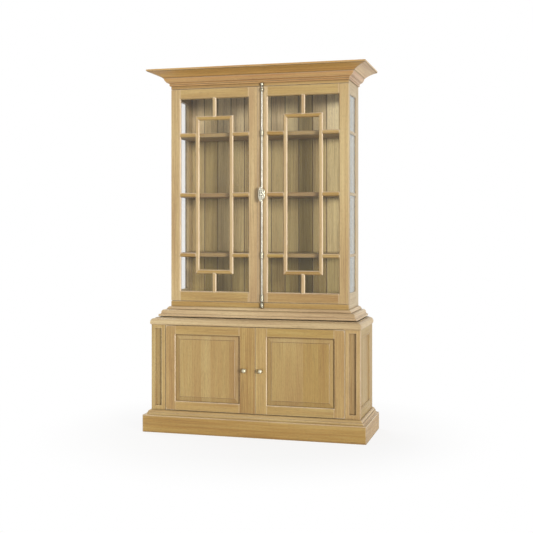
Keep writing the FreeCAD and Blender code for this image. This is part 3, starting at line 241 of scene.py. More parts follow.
floor_finish, floor_output = new_material("pale_floor")
tree = floor_finish.node_tree
place = add_node(tree, "TexCoord").outputs["Object"]
flattened = vector_node(tree, "MULTIPLY", place, (1.0, 1.0, 0.0))[0]
distance = vector_node(tree, "LENGTH", flattened)["Value"]
whitening = remap(tree, distance, NEAR, FAR, WHITE_SHARE_NEAR, WHITE_SHARE_FAR, "SMOOTHSTEP")
matt = add_node(tree, "BsdfDiffuse", inputs={"Color": (0.82, 0.815, 0.80, 1.0)}).outputs[0]
white = add_node(tree, "Emission", inputs={"Color": WHITE, "Strength": 1.0}).outputs[0]
share = math_node(tree, "MULTIPLY", whitening, seen_directly(tree))
blended = add_node(tree, "MixShader", inputs={0: share, 1: matt, 2: white}).outputs[0]
tree.links.new(blended, floor_output.inputs[0])
floor_data.materials.append(floor_finish)
print("floor is", round(floor.dimensions.x, 1), "m wide")

# %% [markdown]
# Oak is drawn as it grows. Each board is cut from a trunk of its own, so its shader first turns the board until its
# grain runs along one axis, then moves it to a place of its own in the trunk. There the figure is made of three
# things: rings round the heart of the trunk, which show as arches and lines, long soft streaks of darker and paler
# wood, and short fine pores. The same values drive the colour, the gloss and the relief, as they do in real wood.
#
# The boards carry four attributes for this: the direction of the grain, a random place in the trunk, a mark of wear
# and painted highlight, on the eased arrises where handling has paled the wood and on slants towards the lamp, and a
# mark of dirt and painted shade, in the joints and inner corners and on shaded parts. Round these marks, wear and dirt
# fade out over a few millimetres. Painting that by hand on every moulding would be endless, so two ambient occlusion
# nodes find the places: one measures how closed in a spot is, and there the wood is darkened, as settled dirt and as
# painted shade; the other, which looks into the wood, tells how near a spot is to an outer edge.

# %% The figure of oak
RINGS_PER_METRE = 105.0


def board_mark(tree, name, kind="Fac"):
    """One of the four attributes that a board carries."""
    return add_node(tree, "Attribute", {"attribute_name": name}).outputs[kind]


def trunk_place(tree, board):
    """Where a spot of the board lies in its trunk, with the grain along the third axis."""
    place = add_node(tree, "TexCoord").outputs["Object"]
    grain = board_mark(tree, "grain", "Vector")
    axis = add_node(tree, "SeparateXYZ", inputs={0: grain}).outputs
    turned_once = combine(tree, axis[2], axis[0], axis[1])
    turned_twice = combine(tree, axis[1], axis[2], axis[0])
    turned = [vector_node(tree, "DOT_PRODUCT", place, way)["Value"] for way in (turned_once, turned_twice, grain)]
    offset = vector_node(tree, "MULTIPLY", board, (0.9, 0.7, 3.0))[0]
    return vector_node(tree, "ADD", combine(tree, *turned), offset)[0]


def ring_lines(tree, in_trunk, sway):
    """The yearly rings round the heart of a trunk that leans and sways a little."""
    spot = add_node(tree, "SeparateXYZ", inputs={0: in_trunk}).outputs
    lean = weighted_sum(tree, spot[0], (spot[2], 0.03), (sway, 0.12))
    squares = math_node(tree, "ADD", math_node(tree, "MULTIPLY", lean, lean),
                        math_node(tree, "MULTIPLY", spot[1], spot[1]))
    turns = math_node(tree, "MULTIPLY", math_node(tree, "SQRT", squares), RINGS_PER_METRE)
    return ramp(tree, math_node(tree, "FRACT", turns), [(0.0, 0.2), (0.2, 0.8), (0.75, 1.0), (1.0, 0.25)])


def wear_and_dirt(tree, patchy, own_hollows):
    """How pale a spot is from wear and painted highlight, and how dark from dirt and painted shade, each from 0 to 1.
    """
    wear_and_highlight, dirt = board_mark(tree, "wear_and_highlight"), board_mark(tree, "dirt")
    open_air = openness(tree, 0.015, samples=4, only_local=own_hollows)
    closed_in = remap(tree, open_air, 0.30, 0.92, 1.0, 0.0)
    in_wood = openness(tree, 0.0045, samples=4, inside=True, only_local=True)
    near_edge = remap(tree, in_wood, 0.35, 0.95, 1.0, 0.0)
    # Eased arrises are paled by wear, and marked slants by painted highlight.
    wear_and_highlight_share = math_node(tree, "MULTIPLY", math_node(tree, "ADD", wear_and_highlight, near_edge), patchy)
    wear_and_highlight_share = math_node(tree, "MULTIPLY", wear_and_highlight_share, 0.62, clamp=True)
    kept_clean = weighted_sum(tree, 0.85, (wear_and_highlight, -0.85))
    # Closed-in spots are darkened, as settled dirt and as painted shade in the hollows.
    soiled = math_node(tree, "MULTIPLY", math_node(tree, "MULTIPLY", closed_in, patchy), kept_clean)
    soiled = math_node(tree, "MAXIMUM", soiled, math_node(tree, "MULTIPLY", dirt, 0.85), clamp=True)
    return wear_and_highlight_share, soiled


print("an oak board shows", RINGS_PER_METRE, "rings in a metre")

# %% [markdown]
# One function makes every oak finish from three colours, of pale, ordinary and dark wood. It mixes the figure out of
# rings, streaks and fine lines, picks the colour by it, and gives each board a lightness and warmth of its own. Dark
# pores and thin veins are laid over that, then wear and painted highlight, then dirt and painted shade.
#
# The finishes differ as parts of a real bookcase do after a century: the cornice has kept its warm varnish, the
# plinth is darker, the sides of the upper case are faded, and the inside was never polished as often. The bars of
# the fretwork look for hollows only within themselves, or else the panes close behind them would count as one.

# %% The oak finishes
PORE_BROWN = (0.14, 0.08, 0.035, 1.0)
VEIN_BROWN = (0.17, 0.095, 0.038, 1.0)
# A pale colour for wear and painted highlight, and a dark one for dirt and painted shade.
WEAR_AND_HIGHLIGHT_WOOD = (0.76, 0.62, 0.45, 1.0)
DIRT_AND_SHADE_BROWN = (0.085, 0.042, 0.012, 1.0)
HALF_FIGURE = 0.34


def oak_finish(name, pale, mid, dark, tone_spread, polish, streaky=0.80, own_hollows=False):
    """Oak with rings, streaks and pores that follow each board's own grain.

    The tone spread is how much its boards differ in lightness, and polish is the roughness of its smoothest wood."""
    material, output = new_material(name)
    tree = material.node_tree
    board = board_mark(tree, "board", "Vector")
    in_trunk = trunk_place(tree, board)

    def along_grain(across, along, detail, roughness):
        """Noise that is drawn out along the grain."""
        stretched = vector_node(tree, "MULTIPLY", in_trunk, (across, across, along))[0]
        return noise(tree, stretched, 1.0, detail, roughness)

    rings = ring_lines(tree, in_trunk, along_grain(4.0, 1.3, 2.0, 0.5))
    streaks = along_grain(85.0, 1.5, 5.0, 0.70)
    fine = along_grain(330.0, 6.0, 3.0, 0.6)
    broad = along_grain(6.0, 0.9, 2.0, 0.5)
    pores = ramp(tree, along_grain(1300.0, 38.0, 1.0, 0.5), [(0.36, 0.0), (0.47, 1.0)])
    veins = math_node(tree, "ABSOLUTE", math_node(tree, "SUBTRACT", along_grain(52.0, 0.9, 3.0, 0.55), 0.5))
    veins = ramp(tree, veins, [(0.0, 1.0), (0.018, 0.0)])
    scattered = ramp(tree, along_grain(9.0, 1.9, 2.0, 0.5), [(0.48, 0.0), (0.62, 1.0)])
    veins = math_node(tree, "MULTIPLY", veins, scattered)

    figure = weighted_sum(tree, 0.0, (rings, 0.14), (streaks, streaky), (fine, 0.34), (broad, 0.75))
    middle = 0.64 + 0.5 * streaky
    share = remap(tree, figure, middle - HALF_FIGURE, middle + HALF_FIGURE)
    colour = ramp(tree, share, [(0.0, dark), (0.5, mid), (1.0, pale)])
    tone = add_node(tree, "SeparateXYZ", inputs={0: board}).outputs
    lightness = weighted_sum(tree, 1.0 - tone_spread / 2, (tone[0], tone_spread))
    warmth = weighted_sum(tree, 0.4715, (tone[1], 0.006), (broad, 0.018), (streaks, 0.035))
    bleached = weighted_sum(tree, 1.15, (tone[0], -0.30))
    colour = add_node(tree, "HueSaturation", inputs={"Hue": warmth, "Saturation": bleached, "Value": lightness,
                                                     "Color": colour}).outputs[0]
    colour = mix_colour(tree, pores, mix_colour(tree, 0.34, colour, PORE_BROWN), colour)
    colour = mix_colour(tree, math_node(tree, "MULTIPLY", veins, 0.42), colour, VEIN_BROWN)
    patchy = remap(tree, along_grain(38.0, 11.0, 3.0, 0.6), 0.3, 0.7, 0.45, 1.25)
    # Wear and painted highlight pale the wood, and dirt and painted shade darken it.
    wear_and_highlight_share, soiled = wear_and_dirt(tree, patchy, own_hollows)
    colour = mix_colour(tree, wear_and_highlight_share, colour, WEAR_AND_HIGHLIGHT_WOOD)
    colour = mix_colour(tree, soiled, colour, DIRT_AND_SHADE_BROWN)

    gloss = remap(tree, share, 0.0, 1.0, polish + 0.14, polish)
    gloss = weighted_sum(tree, gloss, (wear_and_highlight_share, -0.12))
    gloss = math_node(tree, "MULTIPLY_ADD", soiled, 0.3, gloss, clamp=True)
    relief = weighted_sum(tree, 0.0, (rings, 0.3), (pores, 0.7), (fine, 0.4))
    bump = add_node(tree, "Bump", inputs={"Strength": 0.35, "Distance": 0.0004, "Height": relief}).outputs[0]
    shader = add_node(tree, "BsdfPrincipled", inputs={"Base Color": colour, "Roughness": gloss, "Normal": bump,
                                                      "Specular IOR Level": 0.5})
    tree.links.new(shader.outputs[0], output.inputs[0])
    return material


HONEY = ((0.62, 0.445, 0.210), (0.475, 0.315, 0.123), (0.29, 0.165, 0.053))
honey_oak = oak_finish("honey_oak", *HONEY, 0.30, 0.34)
fret_oak = oak_finish("fret_oak", *HONEY, 0.30, 0.34, own_hollows=True)
cornice_oak = oak_finish("cornice_oak", (0.70, 0.452, 0.158), (0.585, 0.340, 0.098), (0.37, 0.182, 0.044), 0.30, 0.36)
bed_oak = oak_finish("bed_oak", (0.610, 0.388, 0.170), (0.510, 0.292, 0.106), (0.322, 0.156, 0.047), 0.30, 0.36)
plinth_oak = oak_finish("plinth_oak", (0.60, 0.412, 0.185), (0.450, 0.285, 0.106), (0.27, 0.148, 0.045), 0.30, 0.34)
side_oak = oak_finish("side_oak", (0.50, 0.353, 0.148), (0.396, 0.263, 0.090), (0.255, 0.149, 0.043), 0.30, 0.36,
                      streaky=0.70)
faded_oak = oak_finish("faded_oak", (0.57, 0.450, 0.262), (0.44, 0.325, 0.160), (0.28, 0.185, 0.078), 0.30, 0.32,
                       streaky=0.70)
panel_oak = oak_finish("panel_oak", (0.56, 0.405, 0.195), (0.455, 0.307, 0.123), (0.33, 0.198, 0.070), 0.30, 0.38,
                       streaky=0.42)
shelf_oak = oak_finish("shelf_oak", (0.430, 0.292, 0.126), (0.335, 0.215, 0.083), (0.215, 0.126, 0.046), 0.20, 0.50)
plank_oak = oak_finish("plank_oak", (0.66, 0.512, 0.242), (0.524, 0.395, 0.171), (0.28, 0.200, 0.080), 0.75, 0.55,
                       streaky=0.95)
print("oak finishes:", [finish.name for finish in (honey_oak, fret_oak, cornice_oak, bed_oak, plinth_oak, side_oak,
                                                   faded_oak, panel_oak, shelf_oak, plank_oak)])

# %% [markdown]
# A board from CAD has knife-sharp arrises and no attributes. It could be modelled again from a cube, but its joints
# and mouldings are already exact, so a copy of its mesh is dressed instead. First the solids of a node are told
# apart. Its triangles come one solid after another, and a solid is complete when each of its edges has been met
# once from both sides, so one walk along the triangles finds every end.

# %% Helpers that take a node apart
STEPS_PER_METRE = 1e7
SAME_POINT = 0.000002


def solid_ends(data):
    """Where each closed solid starts and stops in the list of triangles."""
    corner = [tuple(round(c * STEPS_PER_METRE) for c in vert.co) for vert in data.vertices]
    waiting = {}
    ends, start = [], 0
    for count, face in enumerate(data.polygons, start=1):
        ring = [corner[i] for i in face.vertices]
        for a, b in zip(ring, ring[1:] + ring[:1]):
            if waiting.get((b, a), 0):
                waiting[(b, a)] -= 1
                if not waiting[(b, a)]:
                    del waiting[(b, a)]
            else:
                waiting[(a, b)] = waiting.get((a, b), 0) + 1
        if not waiting:
            ends.append((start, count))
            start = count
    if waiting:
        ends.append((start, len(data.polygons)))
    return ends


def solid_copy(node, start, stop, flat_angle):
    """A bmesh of one solid of a node, with its triangles joined into whole faces."""
    work = bmesh.new()
    work.from_mesh(frame["nodes"][node].data)
    work.faces.ensure_lookup_table()
    others = [face for face in work.faces if not start <= face.index < stop]
    bmesh.ops.delete(work, geom=others, context="FACES")
    bmesh.ops.remove_doubles(work, verts=work.verts, dist=SAME_POINT)
    bmesh.ops.dissolve_limit(work, angle_limit=math.radians(flat_angle), use_dissolve_boundaries=False,
                             verts=work.verts, edges=work.edges)
    return work


def pour(work, whole):
    """Adds a dressed solid to the others of its node."""
    passing = bpy.data.meshes.new("passing")
    work.to_mesh(passing)
    work.free()
    whole.from_mesh(passing)
    bpy.data.meshes.remove(passing)


def finish_piece(work, name, material, body, replaced):
    """Turns a bmesh into a piece of the scene that rides on a body."""
    data = bpy.data.meshes.new(name)
    work.to_mesh(data)
    work.free()
    data.materials.append(material)
    piece = bpy.data.objects.new(name, data)
    bpy.context.scene.collection.objects.link(piece)
    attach(piece, body)
    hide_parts(*replaced)
    return piece


door_parts = solid_ends(frame["nodes"]["left_glazed_door_frame"].data)
print("solids in a glazed door's frame:", len(door_parts))

# %% [markdown]
# Next come the cuts and bevels that the boards need. A bevel comes out without width where edges crowd together, and
# a cut can run along an edge. Both leave faces without area, which would spoil the next bevel and the finished mesh,
# so points within a hundredth of a millimetre of each other are merged.

# %% Helpers that cut and bevel
SLIVER = 0.00001


def unit(axis):
    """The direction of one axis."""
    return Vector([1.0 if i == axis else 0.0 for i in range(3)])


def longest_axis(work):
    """The axis along which a board is longest."""
    spans = [max(v.co[i] for v in work.verts) - min(v.co[i] for v in work.verts) for i in range(3)]
    return spans.index(max(spans))


def signed_angle(edge):
    """The angle between the two faces of an edge, negative in an inner corner."""
    return edge.calc_face_angle_signed(0.0) if len(edge.link_faces) == 2 else 0.0


def ease(work, edges, width):
    """Bevels edges by one flat band and returns its faces."""
    if not edges:
        return []
    made = bmesh.ops.bevel(work, geom=edges, offset=width, offset_type="OFFSET", segments=1, profile=0.5,
                           affect="EDGES", material=-1, clamp_overlap=True, loop_slide=True)
    return made["faces"]


def cut(work, place, normal):
    """Cuts all faces along a plane, so that the two sides can be marked apart."""
    everything = list(work.verts) + list(work.edges) + list(work.faces)
    bmesh.ops.bisect_plane(work, geom=everything, dist=SLIVER, plane_co=place, plane_no=normal)


def close_slivers(work):
    """Merges away the faces without area that a bevel of no width, or a cut along an edge, leaves behind."""
    bmesh.ops.remove_doubles(work, verts=work.verts, dist=SLIVER)
    bmesh.ops.dissolve_degenerate(work, dist=SLIVER, edges=work.edges)


def harden(work, limit):
    """Smooth faces with hard edges wherever two faces meet at more than the limit."""
    for face in work.faces:
        face.smooth = True
    for edge in work.edges:
        edge.smooth = len(edge.link_faces) == 2 and abs(edge.calc_face_angle(0.0)) < math.radians(limit)


print("points closer than", SLIVER, "m are merged")

# %% [markdown]
# Each solid then gets what a real board has, and some painted shade. Inner corners, where one face meets another in
# a hollow, get a narrow dark band, of settled dirt and painted shade. All outer arrises are eased by about a
# millimetre. An eased arris that crosses the grain is the mouth of a joint and gathers dirt, and one that runs along
# the grain is worn pale. The longest side of a board tells which way its grain runs.
#
# Two more helpers paint light and shade on the front. Slants that look up or to the right, towards the lamp, are
# painted paler as a highlight, and those turned away are painted darker as shade, or both are darker in the joints of
# the planks, as dirt. A zone, such as the floor of a flute, is darkened as a whole, mostly as painted shade.

# %% Helpers that dress boards
ARRIS = 0.0012
NARROW_SEAM, WIDE_SEAM = 0.001, 0.003
HOLLOW_FROM, SHARP_FROM, SMOOTH_TO = 40.0, 50.0, 28.0
FLAT_WITHIN = 3.0
# Inner corners get a dark band that stands for dirt and painted shade.
SEAM_DIRT_AND_SHADE = 0.8
TONE_SWING = 0.14


def paint_light_on_slants(work, least, lit, turned_away):
    """Paints light on the slants of the front that look up or right, towards the lamp, and on those turned away: a
    mark above 0 pales them, as a painted highlight, and one below 0 darkens them, as painted shade on the doors and as
    dirt in the joints of the planks.
    """
    wear_and_highlight = work.faces.layers.float["wear_and_highlight"]
    dirt = work.faces.layers.float["dirt"]
    for face in work.faces:
        x, y, z = face.normal
        if y > -0.1 or max(abs(x), abs(z)) < least or face[wear_and_highlight] or face[dirt]:
            continue
        share = lit if (x if abs(x) > abs(z) else z) > 0 else turned_away
        face[wear_and_highlight if share > 0 else dirt] = abs(share)


def darken_zone(work, low, high, share):
    """Darkens the upright faces in a box from one corner to another, cutting them where the zone ends; on the flutes
    and the panel rims this is painted shade.
    """
    dirt = work.faces.layers.float["dirt"]
    for corner in (low, high):
        for axis in (0, 2):
            cut(work, corner, unit(axis))
    for face in work.faces:
        middle = face.calc_center_median()
        inside = all(a < b < c for a, b, c in zip(low, middle, high))
        if inside and abs(face.normal.z) < 0.5:
            face[dirt] = max(face[dirt], share)


def dress_board(work, chance, grain_axis, tone, glued_at, seam):
    """Eases, marks with dirt and painted shade, and grains one board, or a panel that is glued up from boards at the
    given places.
    """
    grain = work.faces.layers.float_vector.new("grain")
    board = work.faces.layers.float_vector.new("board")
    wear_and_highlight = work.faces.layers.float.new("wear_and_highlight")
    dirt = work.faces.layers.float.new("dirt")
    along = unit(longest_axis(work) if grain_axis is None else grain_axis)
    trunk = Vector([tone, chance.random(), chance.random()])
    hollow = [e for e in work.edges if signed_angle(e) < -math.radians(HOLLOW_FROM)]
    for face in ease(work, hollow, seam):
        face[dirt] = SEAM_DIRT_AND_SHADE
    close_slivers(work)
    sharp = [e for e in work.edges if signed_angle(e) > math.radians(SHARP_FROM)]
    for face in ease(work, sharp, ARRIS):
        crosses = abs(face.normal.dot(along)) > 0.25
        face[dirt] = 1.0 if crosses else 0.0
        face[wear_and_highlight] = 0.0 if crosses else 1.0
    for face in work.faces:
        face[grain] = along
        face[board] = trunk
    for place, change in glued_at:
        cut(work, (place, 0.0, 0.0), (1.0, 0.0, 0.0))
        trunk = Vector([tone + change, chance.random(), chance.random()])
        for face in work.faces:
            if face.calc_center_median().x > place:
                face[board] = trunk


def dress_boards(node, material, grain_axis=None, tones=(0.5, 0.5), slants=None, glued_at=(),
                 seam=NARROW_SEAM, zones=()):
    """Replaces a wooden CAD node by its eased and grained boards.

    Up to three tones are those of its upright boards, of its level ones and of those that run from front to back.
    More are those of its boards in their order. Glued_at holds the places of glued joints and how much the tone
    changes there. Slants are the least slope that is marked, and the marks of the slants towards the lamp and away
    from it: on the doors a painted highlight and painted shade, in the joints of the planks dirt. Zones are the
    corners of darkened boxes, mostly painted shade, and how much each is darkened."""
    chance = random.Random(node)
    whole = bmesh.new()
    for number, (start, stop) in enumerate(solid_ends(frame["nodes"][node].data)):
        work = solid_copy(node, start, stop, FLAT_WITHIN)
        if len(tones) > 3:
            tone = tones[number]
        else:
            run = {2: 0, 0: 1, 1: len(tones) - 1}[longest_axis(work)]
            tone = tones[run] + chance.uniform(-TONE_SWING, TONE_SWING)
        dress_board(work, chance, grain_axis, tone, glued_at, seam)
        if slants:
            paint_light_on_slants(work, *slants)
        for zone in zones:
            darken_zone(work, *zone)
        close_slivers(work)
        harden(work, SMOOTH_TO)
        pour(work, whole)
    body = frame["nodes"][node]["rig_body"]
    return finish_piece(whole, node + "_dressed", material, body, [node])


print("arrises are eased by", ARRIS, "m")

# %% [markdown]
# The front and the sides are dressed node by node. The tones are given per node: the glazed doors and the tops of
# the mouldings have seen most light and are palest. The floor of a pilaster's flute is darkened as painted shade,
# most of all on the side that lies in the shadow of its wall. The outer edge of the left pilaster and the upright
# band at the very top of the cornice are darkened too, but much less.

# %% The front and the sides
front_tones = {"base_moulding": (0.5, 0.55, 0.9),
               "left_pilaster": (0.5, 0.5), "right_pilaster": (0.45, 0.5),
               "base_top": (1.10, 1.10), "waist_moulding": (1.05, 1.05, 1.3),
               "upper_bottom_rail": (0.38, 0.33), "frieze_rail": (0.5, 0.45),
               "left_glazed_door_frame": (0.90, 0.45), "right_glazed_door_frame": (0.90, 0.45),
               "left_glazed_door_fretwork": (0.95, 0.25), "right_glazed_door_fretwork": (0.95, 0.25),
               "left_glazed_door_beads": (0.5, 0.5), "right_glazed_door_beads": (0.5, 0.5),
               "left_panelled_door_frame": (0.39, 0.40), "right_panelled_door_frame": (0.50, 0.35)}
boards = {}
for node, tones in front_tones.items():
    slants, zones, seam = None, (), NARROW_SEAM
    low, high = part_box(node)
    # The slants of the door mouldings get a painted highlight towards the lamp and painted shade away from it.
    if "glazed" in node:
        slants = (0.3, 1.0, -0.30)
    elif "panelled" in node:
        slants = (0.12, 1.0, -0.45)
    elif "pilaster" in node:
        left, right, shaded = low.x + 0.026, low.x + 0.070, low.x + 0.070 - 0.019
        front, back, foot, head = low.y + 0.006, low.y + 0.02, low.z + 0.02, high.z - 0.02
        # The floor of the flute is darkened as painted shade, most in the part that its wall shadows.
        zones = [((left, front, foot), (right, back, head), 0.32),
                 ((shaded, front, foot), (right, back, head), 0.42)]
        if "left" in node:
            zones.append(((low.x - 0.01, low.y - 0.01, low.z - 0.01), (left, high.y, high.z + 0.01), 0.14))
    else:
        seam = WIDE_SEAM
    finish = fret_oak if "fretwork" in node else honey_oak
    boards[node] = dress_boards(node, finish, tones=tones, slants=slants, zones=zones, seam=seam)
for node, finish in (("cornice_crown", cornice_oak), ("cornice_bed_moulding", bed_oak)):
    low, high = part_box(node)
    # The upright band at the top of the crown is darkened a little.
    dark_top_band = ((low.x - 1, low.y - 1, high.z - 0.011), (high.x + 1, high.y + 1, high.z + 1), 0.16)
    zones = [dark_top_band] if "crown" in node else ()
    boards[node] = dress_boards(node, finish, tones=(0.5, 0.42, 1.3), seam=WIDE_SEAM, zones=zones)
boards["plinth_boards"] = dress_boards("plinth_boards", plinth_oak, tones=(0.15, 0.12, 0.5))
for node in ("left_base_side_frame", "right_base_side_frame"):
    boards[node] = dress_boards(node, side_oak, tones=(0.25, 0.2))
for node in ("left_upper_side_frame", "right_upper_side_frame"):
    boards[node] = dress_boards(node, faded_oak, tones=(0.7, 0.65))
print("dressed", len(boards), "nodes of the front and sides,",
      sum(len(piece.data.polygons) for piece in boards.values()), "faces")

# %% [markdown]
# Panels are glued up from upright boards, so their grain stands whatever their shape. Their rims are darker where
# they slip into the frame: on the right and at the top, which lie in the frame's shadow, this is painted shadow, and
# on the left they are a little darker too. The slants of their bevels get a faint painted highlight and painted
# shade. The shelves, floors and tops inside are a little duller than the front, because they were never polished as
# often.
#
# The planks of the back come from several trees, and some are darker than others: their tones are listed from left
# to right, and the third is raised as painted light where the meeting stiles throw shade. Above the top shelf they are
# paler, as painted light, and below the lowest shelf they are darker, as painted shade. The step between the two tones
# hides behind the edge of the shelf.

# %% Panels and the inside
UPRIGHT = 2
for node in ("left_base_side_panel", "right_base_side_panel"):
    boards[node] = dress_boards(node, side_oak, grain_axis=UPRIGHT, tones=(0.08, 0.08))
tongue, rim = 0.00885, 0.006
for node, joints in (("left_panelled_door_panel", ((-0.354, 0.03), (-0.289, -0.02))),
                     ("right_panelled_door_panel", ((0.333, -0.24),))):
    low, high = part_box(node)
    # The right and top rims get the painted shadow of the frame, and the left rim is darkened a little.
    zones = [((high.x - tongue - rim, low.y, low.z), (high.x, high.y, high.z), 0.60),
             ((low.x, low.y, high.z - tongue - rim), (high.x, high.y, high.z), 0.50),
             ((low.x, low.y, low.z), (low.x + tongue + rim / 2, high.y, high.z), 0.30)]
    boards[node] = dress_boards(node, panel_oak, grain_axis=UPRIGHT, tones=(0.50, 0.50), glued_at=joints,
                                slants=(0.05, 0.12, -0.18), zones=zones)
for node in ("upper_floor", "upper_top", "shelf_lower", "shelf_middle", "shelf_upper", "base_floor", "base_shelf",
             "base_shelf_bearers", "base_back", "door_stops", "plinth_back", "plinth_bearers"):
    boards[node] = dress_boards(node, shelf_oak)

# The third plank is raised as painted light in the shade of the meeting stiles.
plank_tones = [0.60, 0.35, 0.75, 0.60, 0.45, 0.70, 0.55, 0.45, 0.05, 0.50, 0.75, 0.55]
planks = dress_boards("back_planks", plank_oak, tones=plank_tones, slants=(0.3, -0.85, -0.85))
boards["back_planks"] = planks
work = bmesh.new()
work.from_mesh(planks.data)
board = work.faces.layers.float_vector["board"]
below_its_top = 0.010
# Planks above the top shelf are made paler, as painted light, and those below the lowest shelf darker, as painted
# shade.
for shelf, side, change in (("shelf_upper", 1, 0.55), ("shelf_lower", -1, -0.40)):
    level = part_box(shelf)[1].z - below_its_top
    cut(work, (0.0, 0.0, level), (0.0, 0.0, 1.0))
    for face in work.faces:
        if face.normal.y < -0.3 and (face.calc_center_median().z - level) * side > 0:
            face[board] = face[board] + Vector((change, 0.0, 0.0))
work.to_mesh(planks.data)
work.free()
print("dressed", len(boards), "nodes in all")

# %% [markdown]
# The panes are old drawn glass: clear, and not quite flat, so that reflections swim. A pane does two things to light.
# A little of it is mirrored, more and more as the look grows steeper, and the rest goes straight through. The share
# is small when looked at squarely, and it rises with the fifth power of how far the face turns away. Here it sets
# how opaque a perfect mirror is. It starts at about a fiftieth, which is half as much as in real glass, so that the
# white studio doesn't veil the shelves. Glass that bends light would be truer for a bottle, but in a cabinet it
# would cast dark shadows on the shelves.

# %% Glass
LEAST_MIRRORED = 0.018
pane_glass, output = new_material("pane_glass")
tree = pane_glass.node_tree
place = add_node(tree, "TexCoord").outputs["Object"]
ripple = noise(tree, place, 3.2, 1.0)
swim = add_node(tree, "Bump", inputs={"Strength": 0.10, "Distance": 0.004, "Height": ripple}).outputs[0]
smear = noise(tree, place, 9.0, 4.0)
haze = remap(tree, smear, 0.0, 1.0, 0.02, 0.07)
tint = mix_colour(tree, smear, (0.80, 0.86, 0.83, 1.0), (0.86, 0.90, 0.88, 1.0))
turned = add_node(tree, "LayerWeight", inputs={"Blend": 0.5}).outputs["Facing"]
mirrored = weighted_sum(tree, LEAST_MIRRORED, (math_node(tree, "POWER", turned, 5.0), 0.96))
mirrored = math_node(tree, "MULTIPLY_ADD", smear, 0.008, mirrored, clamp=True)
sheet = add_node(tree, "BsdfPrincipled", inputs={"Base Color": tint, "Metallic": 1.0, "Roughness": haze,
                                                 "Normal": swim, "Alpha": mirrored})
tree.links.new(sheet.outputs[0], output.inputs[0])
panes = ["left_glazed_door_glass", "right_glazed_door_glass", "left_upper_side_glass", "right_upper_side_glass"]
for node in panes:
    for mark in frame["nodes"][node].material_slots:
        mark.material = pane_glass
print("glazed", len(panes), "panes, with", len(frame["nodes"][panes[0]].material_slots), "slot each")

# %% [markdown]
# The bolt and the knobs are pale polished metal that hands have rubbed: bright on the high parts, with a faint warm
# tarnish in clouds, and very fine scratches that break up the reflections. In the hollows, where no cloth reaches, the
# metal is dark, partly as tarnish and partly as painted shade. Ambient occlusion finds those hollows, and without them
# a pale casting against a white studio would look like a blot.
#
# Each part has a finish of its own. The handle and the casing are the brightest, and in the pierced casing the painted
# shade reaches further out of the hollows. The rods and the knobs are duller and more matt, the guides, keepers
# and screws are dark, and the hinges and pins are brass.


# %% Metal
def metal_finish(name, bright, tarnished, smoothest, roughest, reach=0.009):
    """Polished metal with cloudy tarnish and fine scratches, darkened in hollows as tarnish and as painted shade; the
    reach is how far that darkening spreads.
    """
    material, output = new_material(name)
    tree = material.node_tree
    place = add_node(tree, "TexCoord").outputs["Object"]
    clouds = noise(tree, place, 38.0, 5.0, 0.6)
    share = ramp(tree, clouds, [(0.42, 0.0), (0.70, 1.0)])
    colour = mix_colour(tree, share, (*bright, 1.0), (*tarnished, 1.0))
    # Hollows are darkened, partly as tarnish and partly as painted shade.
    hollow = remap(tree, openness(tree, reach, samples=6), 0.25, 0.85, 1.0, 0.0)
    tarnish_and_shade_dark = tuple(0.12 * part for part in tarnished)
    colour = mix_colour(tree, math_node(tree, "MULTIPLY", hollow, 0.9), colour, (*tarnish_and_shade_dark, 1.0))
    scratches = noise(tree, vector_node(tree, "MULTIPLY", place, (900.0, 900.0, 60.0))[0], 1.0, 2.0)
    gloss = remap(tree, clouds, 0.0, 1.0, smoothest, roughest)
    gloss = math_node(tree, "MULTIPLY_ADD", hollow, 0.25, gloss, clamp=True)
    bump = add_node(tree, "Bump", inputs={"Strength": 0.12, "Distance": 0.0002, "Height": scratches}).outputs[0]
    shader = add_node(tree, "BsdfPrincipled", inputs={"Base Color": colour, "Metallic": 1.0, "Roughness": gloss,
                                                      "Normal": bump})
    tree.links.new(shader.outputs[0], output.inputs[0])
    return material


pale_metal = metal_finish("pale_metal", (0.82, 0.79, 0.67), (0.55, 0.50, 0.37), 0.20, 0.34, reach=0.0045)
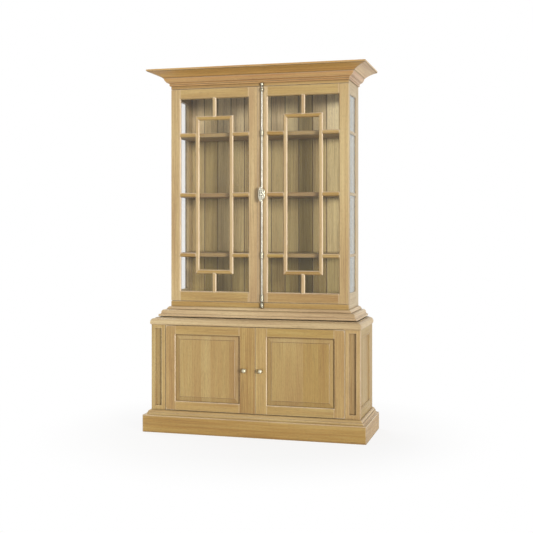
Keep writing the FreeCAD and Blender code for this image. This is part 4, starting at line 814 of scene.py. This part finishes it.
# In the casing the darkening reaches far, as painted shade behind the handle.
casing_metal = metal_finish("casing_metal", (0.82, 0.79, 0.67), (0.52, 0.48, 0.35), 0.20, 0.34, reach=0.030)
rod_metal = metal_finish("rod_metal", (0.555, 0.54, 0.48), (0.40, 0.385, 0.31), 0.36, 0.48)
knob_metal = metal_finish("knob_metal", (0.68, 0.63, 0.47), (0.46, 0.41, 0.28), 0.48, 0.60)
dull_metal = metal_finish("dull_metal", (0.46, 0.44, 0.35), (0.22, 0.20, 0.14), 0.30, 0.48)
brass = metal_finish("old_brass", (0.72, 0.56, 0.28), (0.40, 0.28, 0.12), 0.24, 0.48)
steel = metal_finish("old_steel", (0.56, 0.56, 0.57), (0.36, 0.33, 0.30), 0.28, 0.50)
print("metals:", [finish.name for finish in (pale_metal, casing_metal, rod_metal, knob_metal, dull_metal, brass,
                                             steel)])

# %% [markdown]
# Turned and cast parts come from CAD with facets. A merged copy is shaded smooth, with hard edges kept where two
# faces meet at a clear angle.

# %% Smooth metal pieces
METAL_FLAT_WITHIN, METAL_SMOOTH_TO = 1.0, 34.0


def dress_metal(node, material):
    """Replaces a metal CAD node by a merged and smoothly shaded copy."""
    whole = bmesh.new()
    for start, stop in solid_ends(frame["nodes"][node].data):
        pour(solid_copy(node, start, stop, METAL_FLAT_WITHIN), whole)
    harden(whole, METAL_SMOOTH_TO)
    body = frame["nodes"][node]["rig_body"]
    return finish_piece(whole, node + "_dressed", material, body, [node])


dress_metal("cremone_handle", pale_metal)
dress_metal("cremone_casing", casing_metal)
for node in ("cremone_upper_rod", "cremone_lower_rod"):
    dress_metal(node, rod_metal)
for node in ("left_panelled_door_knob", "right_panelled_door_knob"):
    dress_metal(node, knob_metal)
for node in ("cremone_guides", "cremone_keepers", "cremone_screws"):
    dress_metal(node, dull_metal)
for node in ("case_hinges", "shelf_pins", "left_glazed_door_fittings", "right_glazed_door_fittings",
             "left_panelled_door_fittings", "right_panelled_door_fittings"):
    dress_metal(node, brass)
for node in ("case_bolts", "catch_magnets"):
    dress_metal(node, steel)
print("metal pieces are dressed")
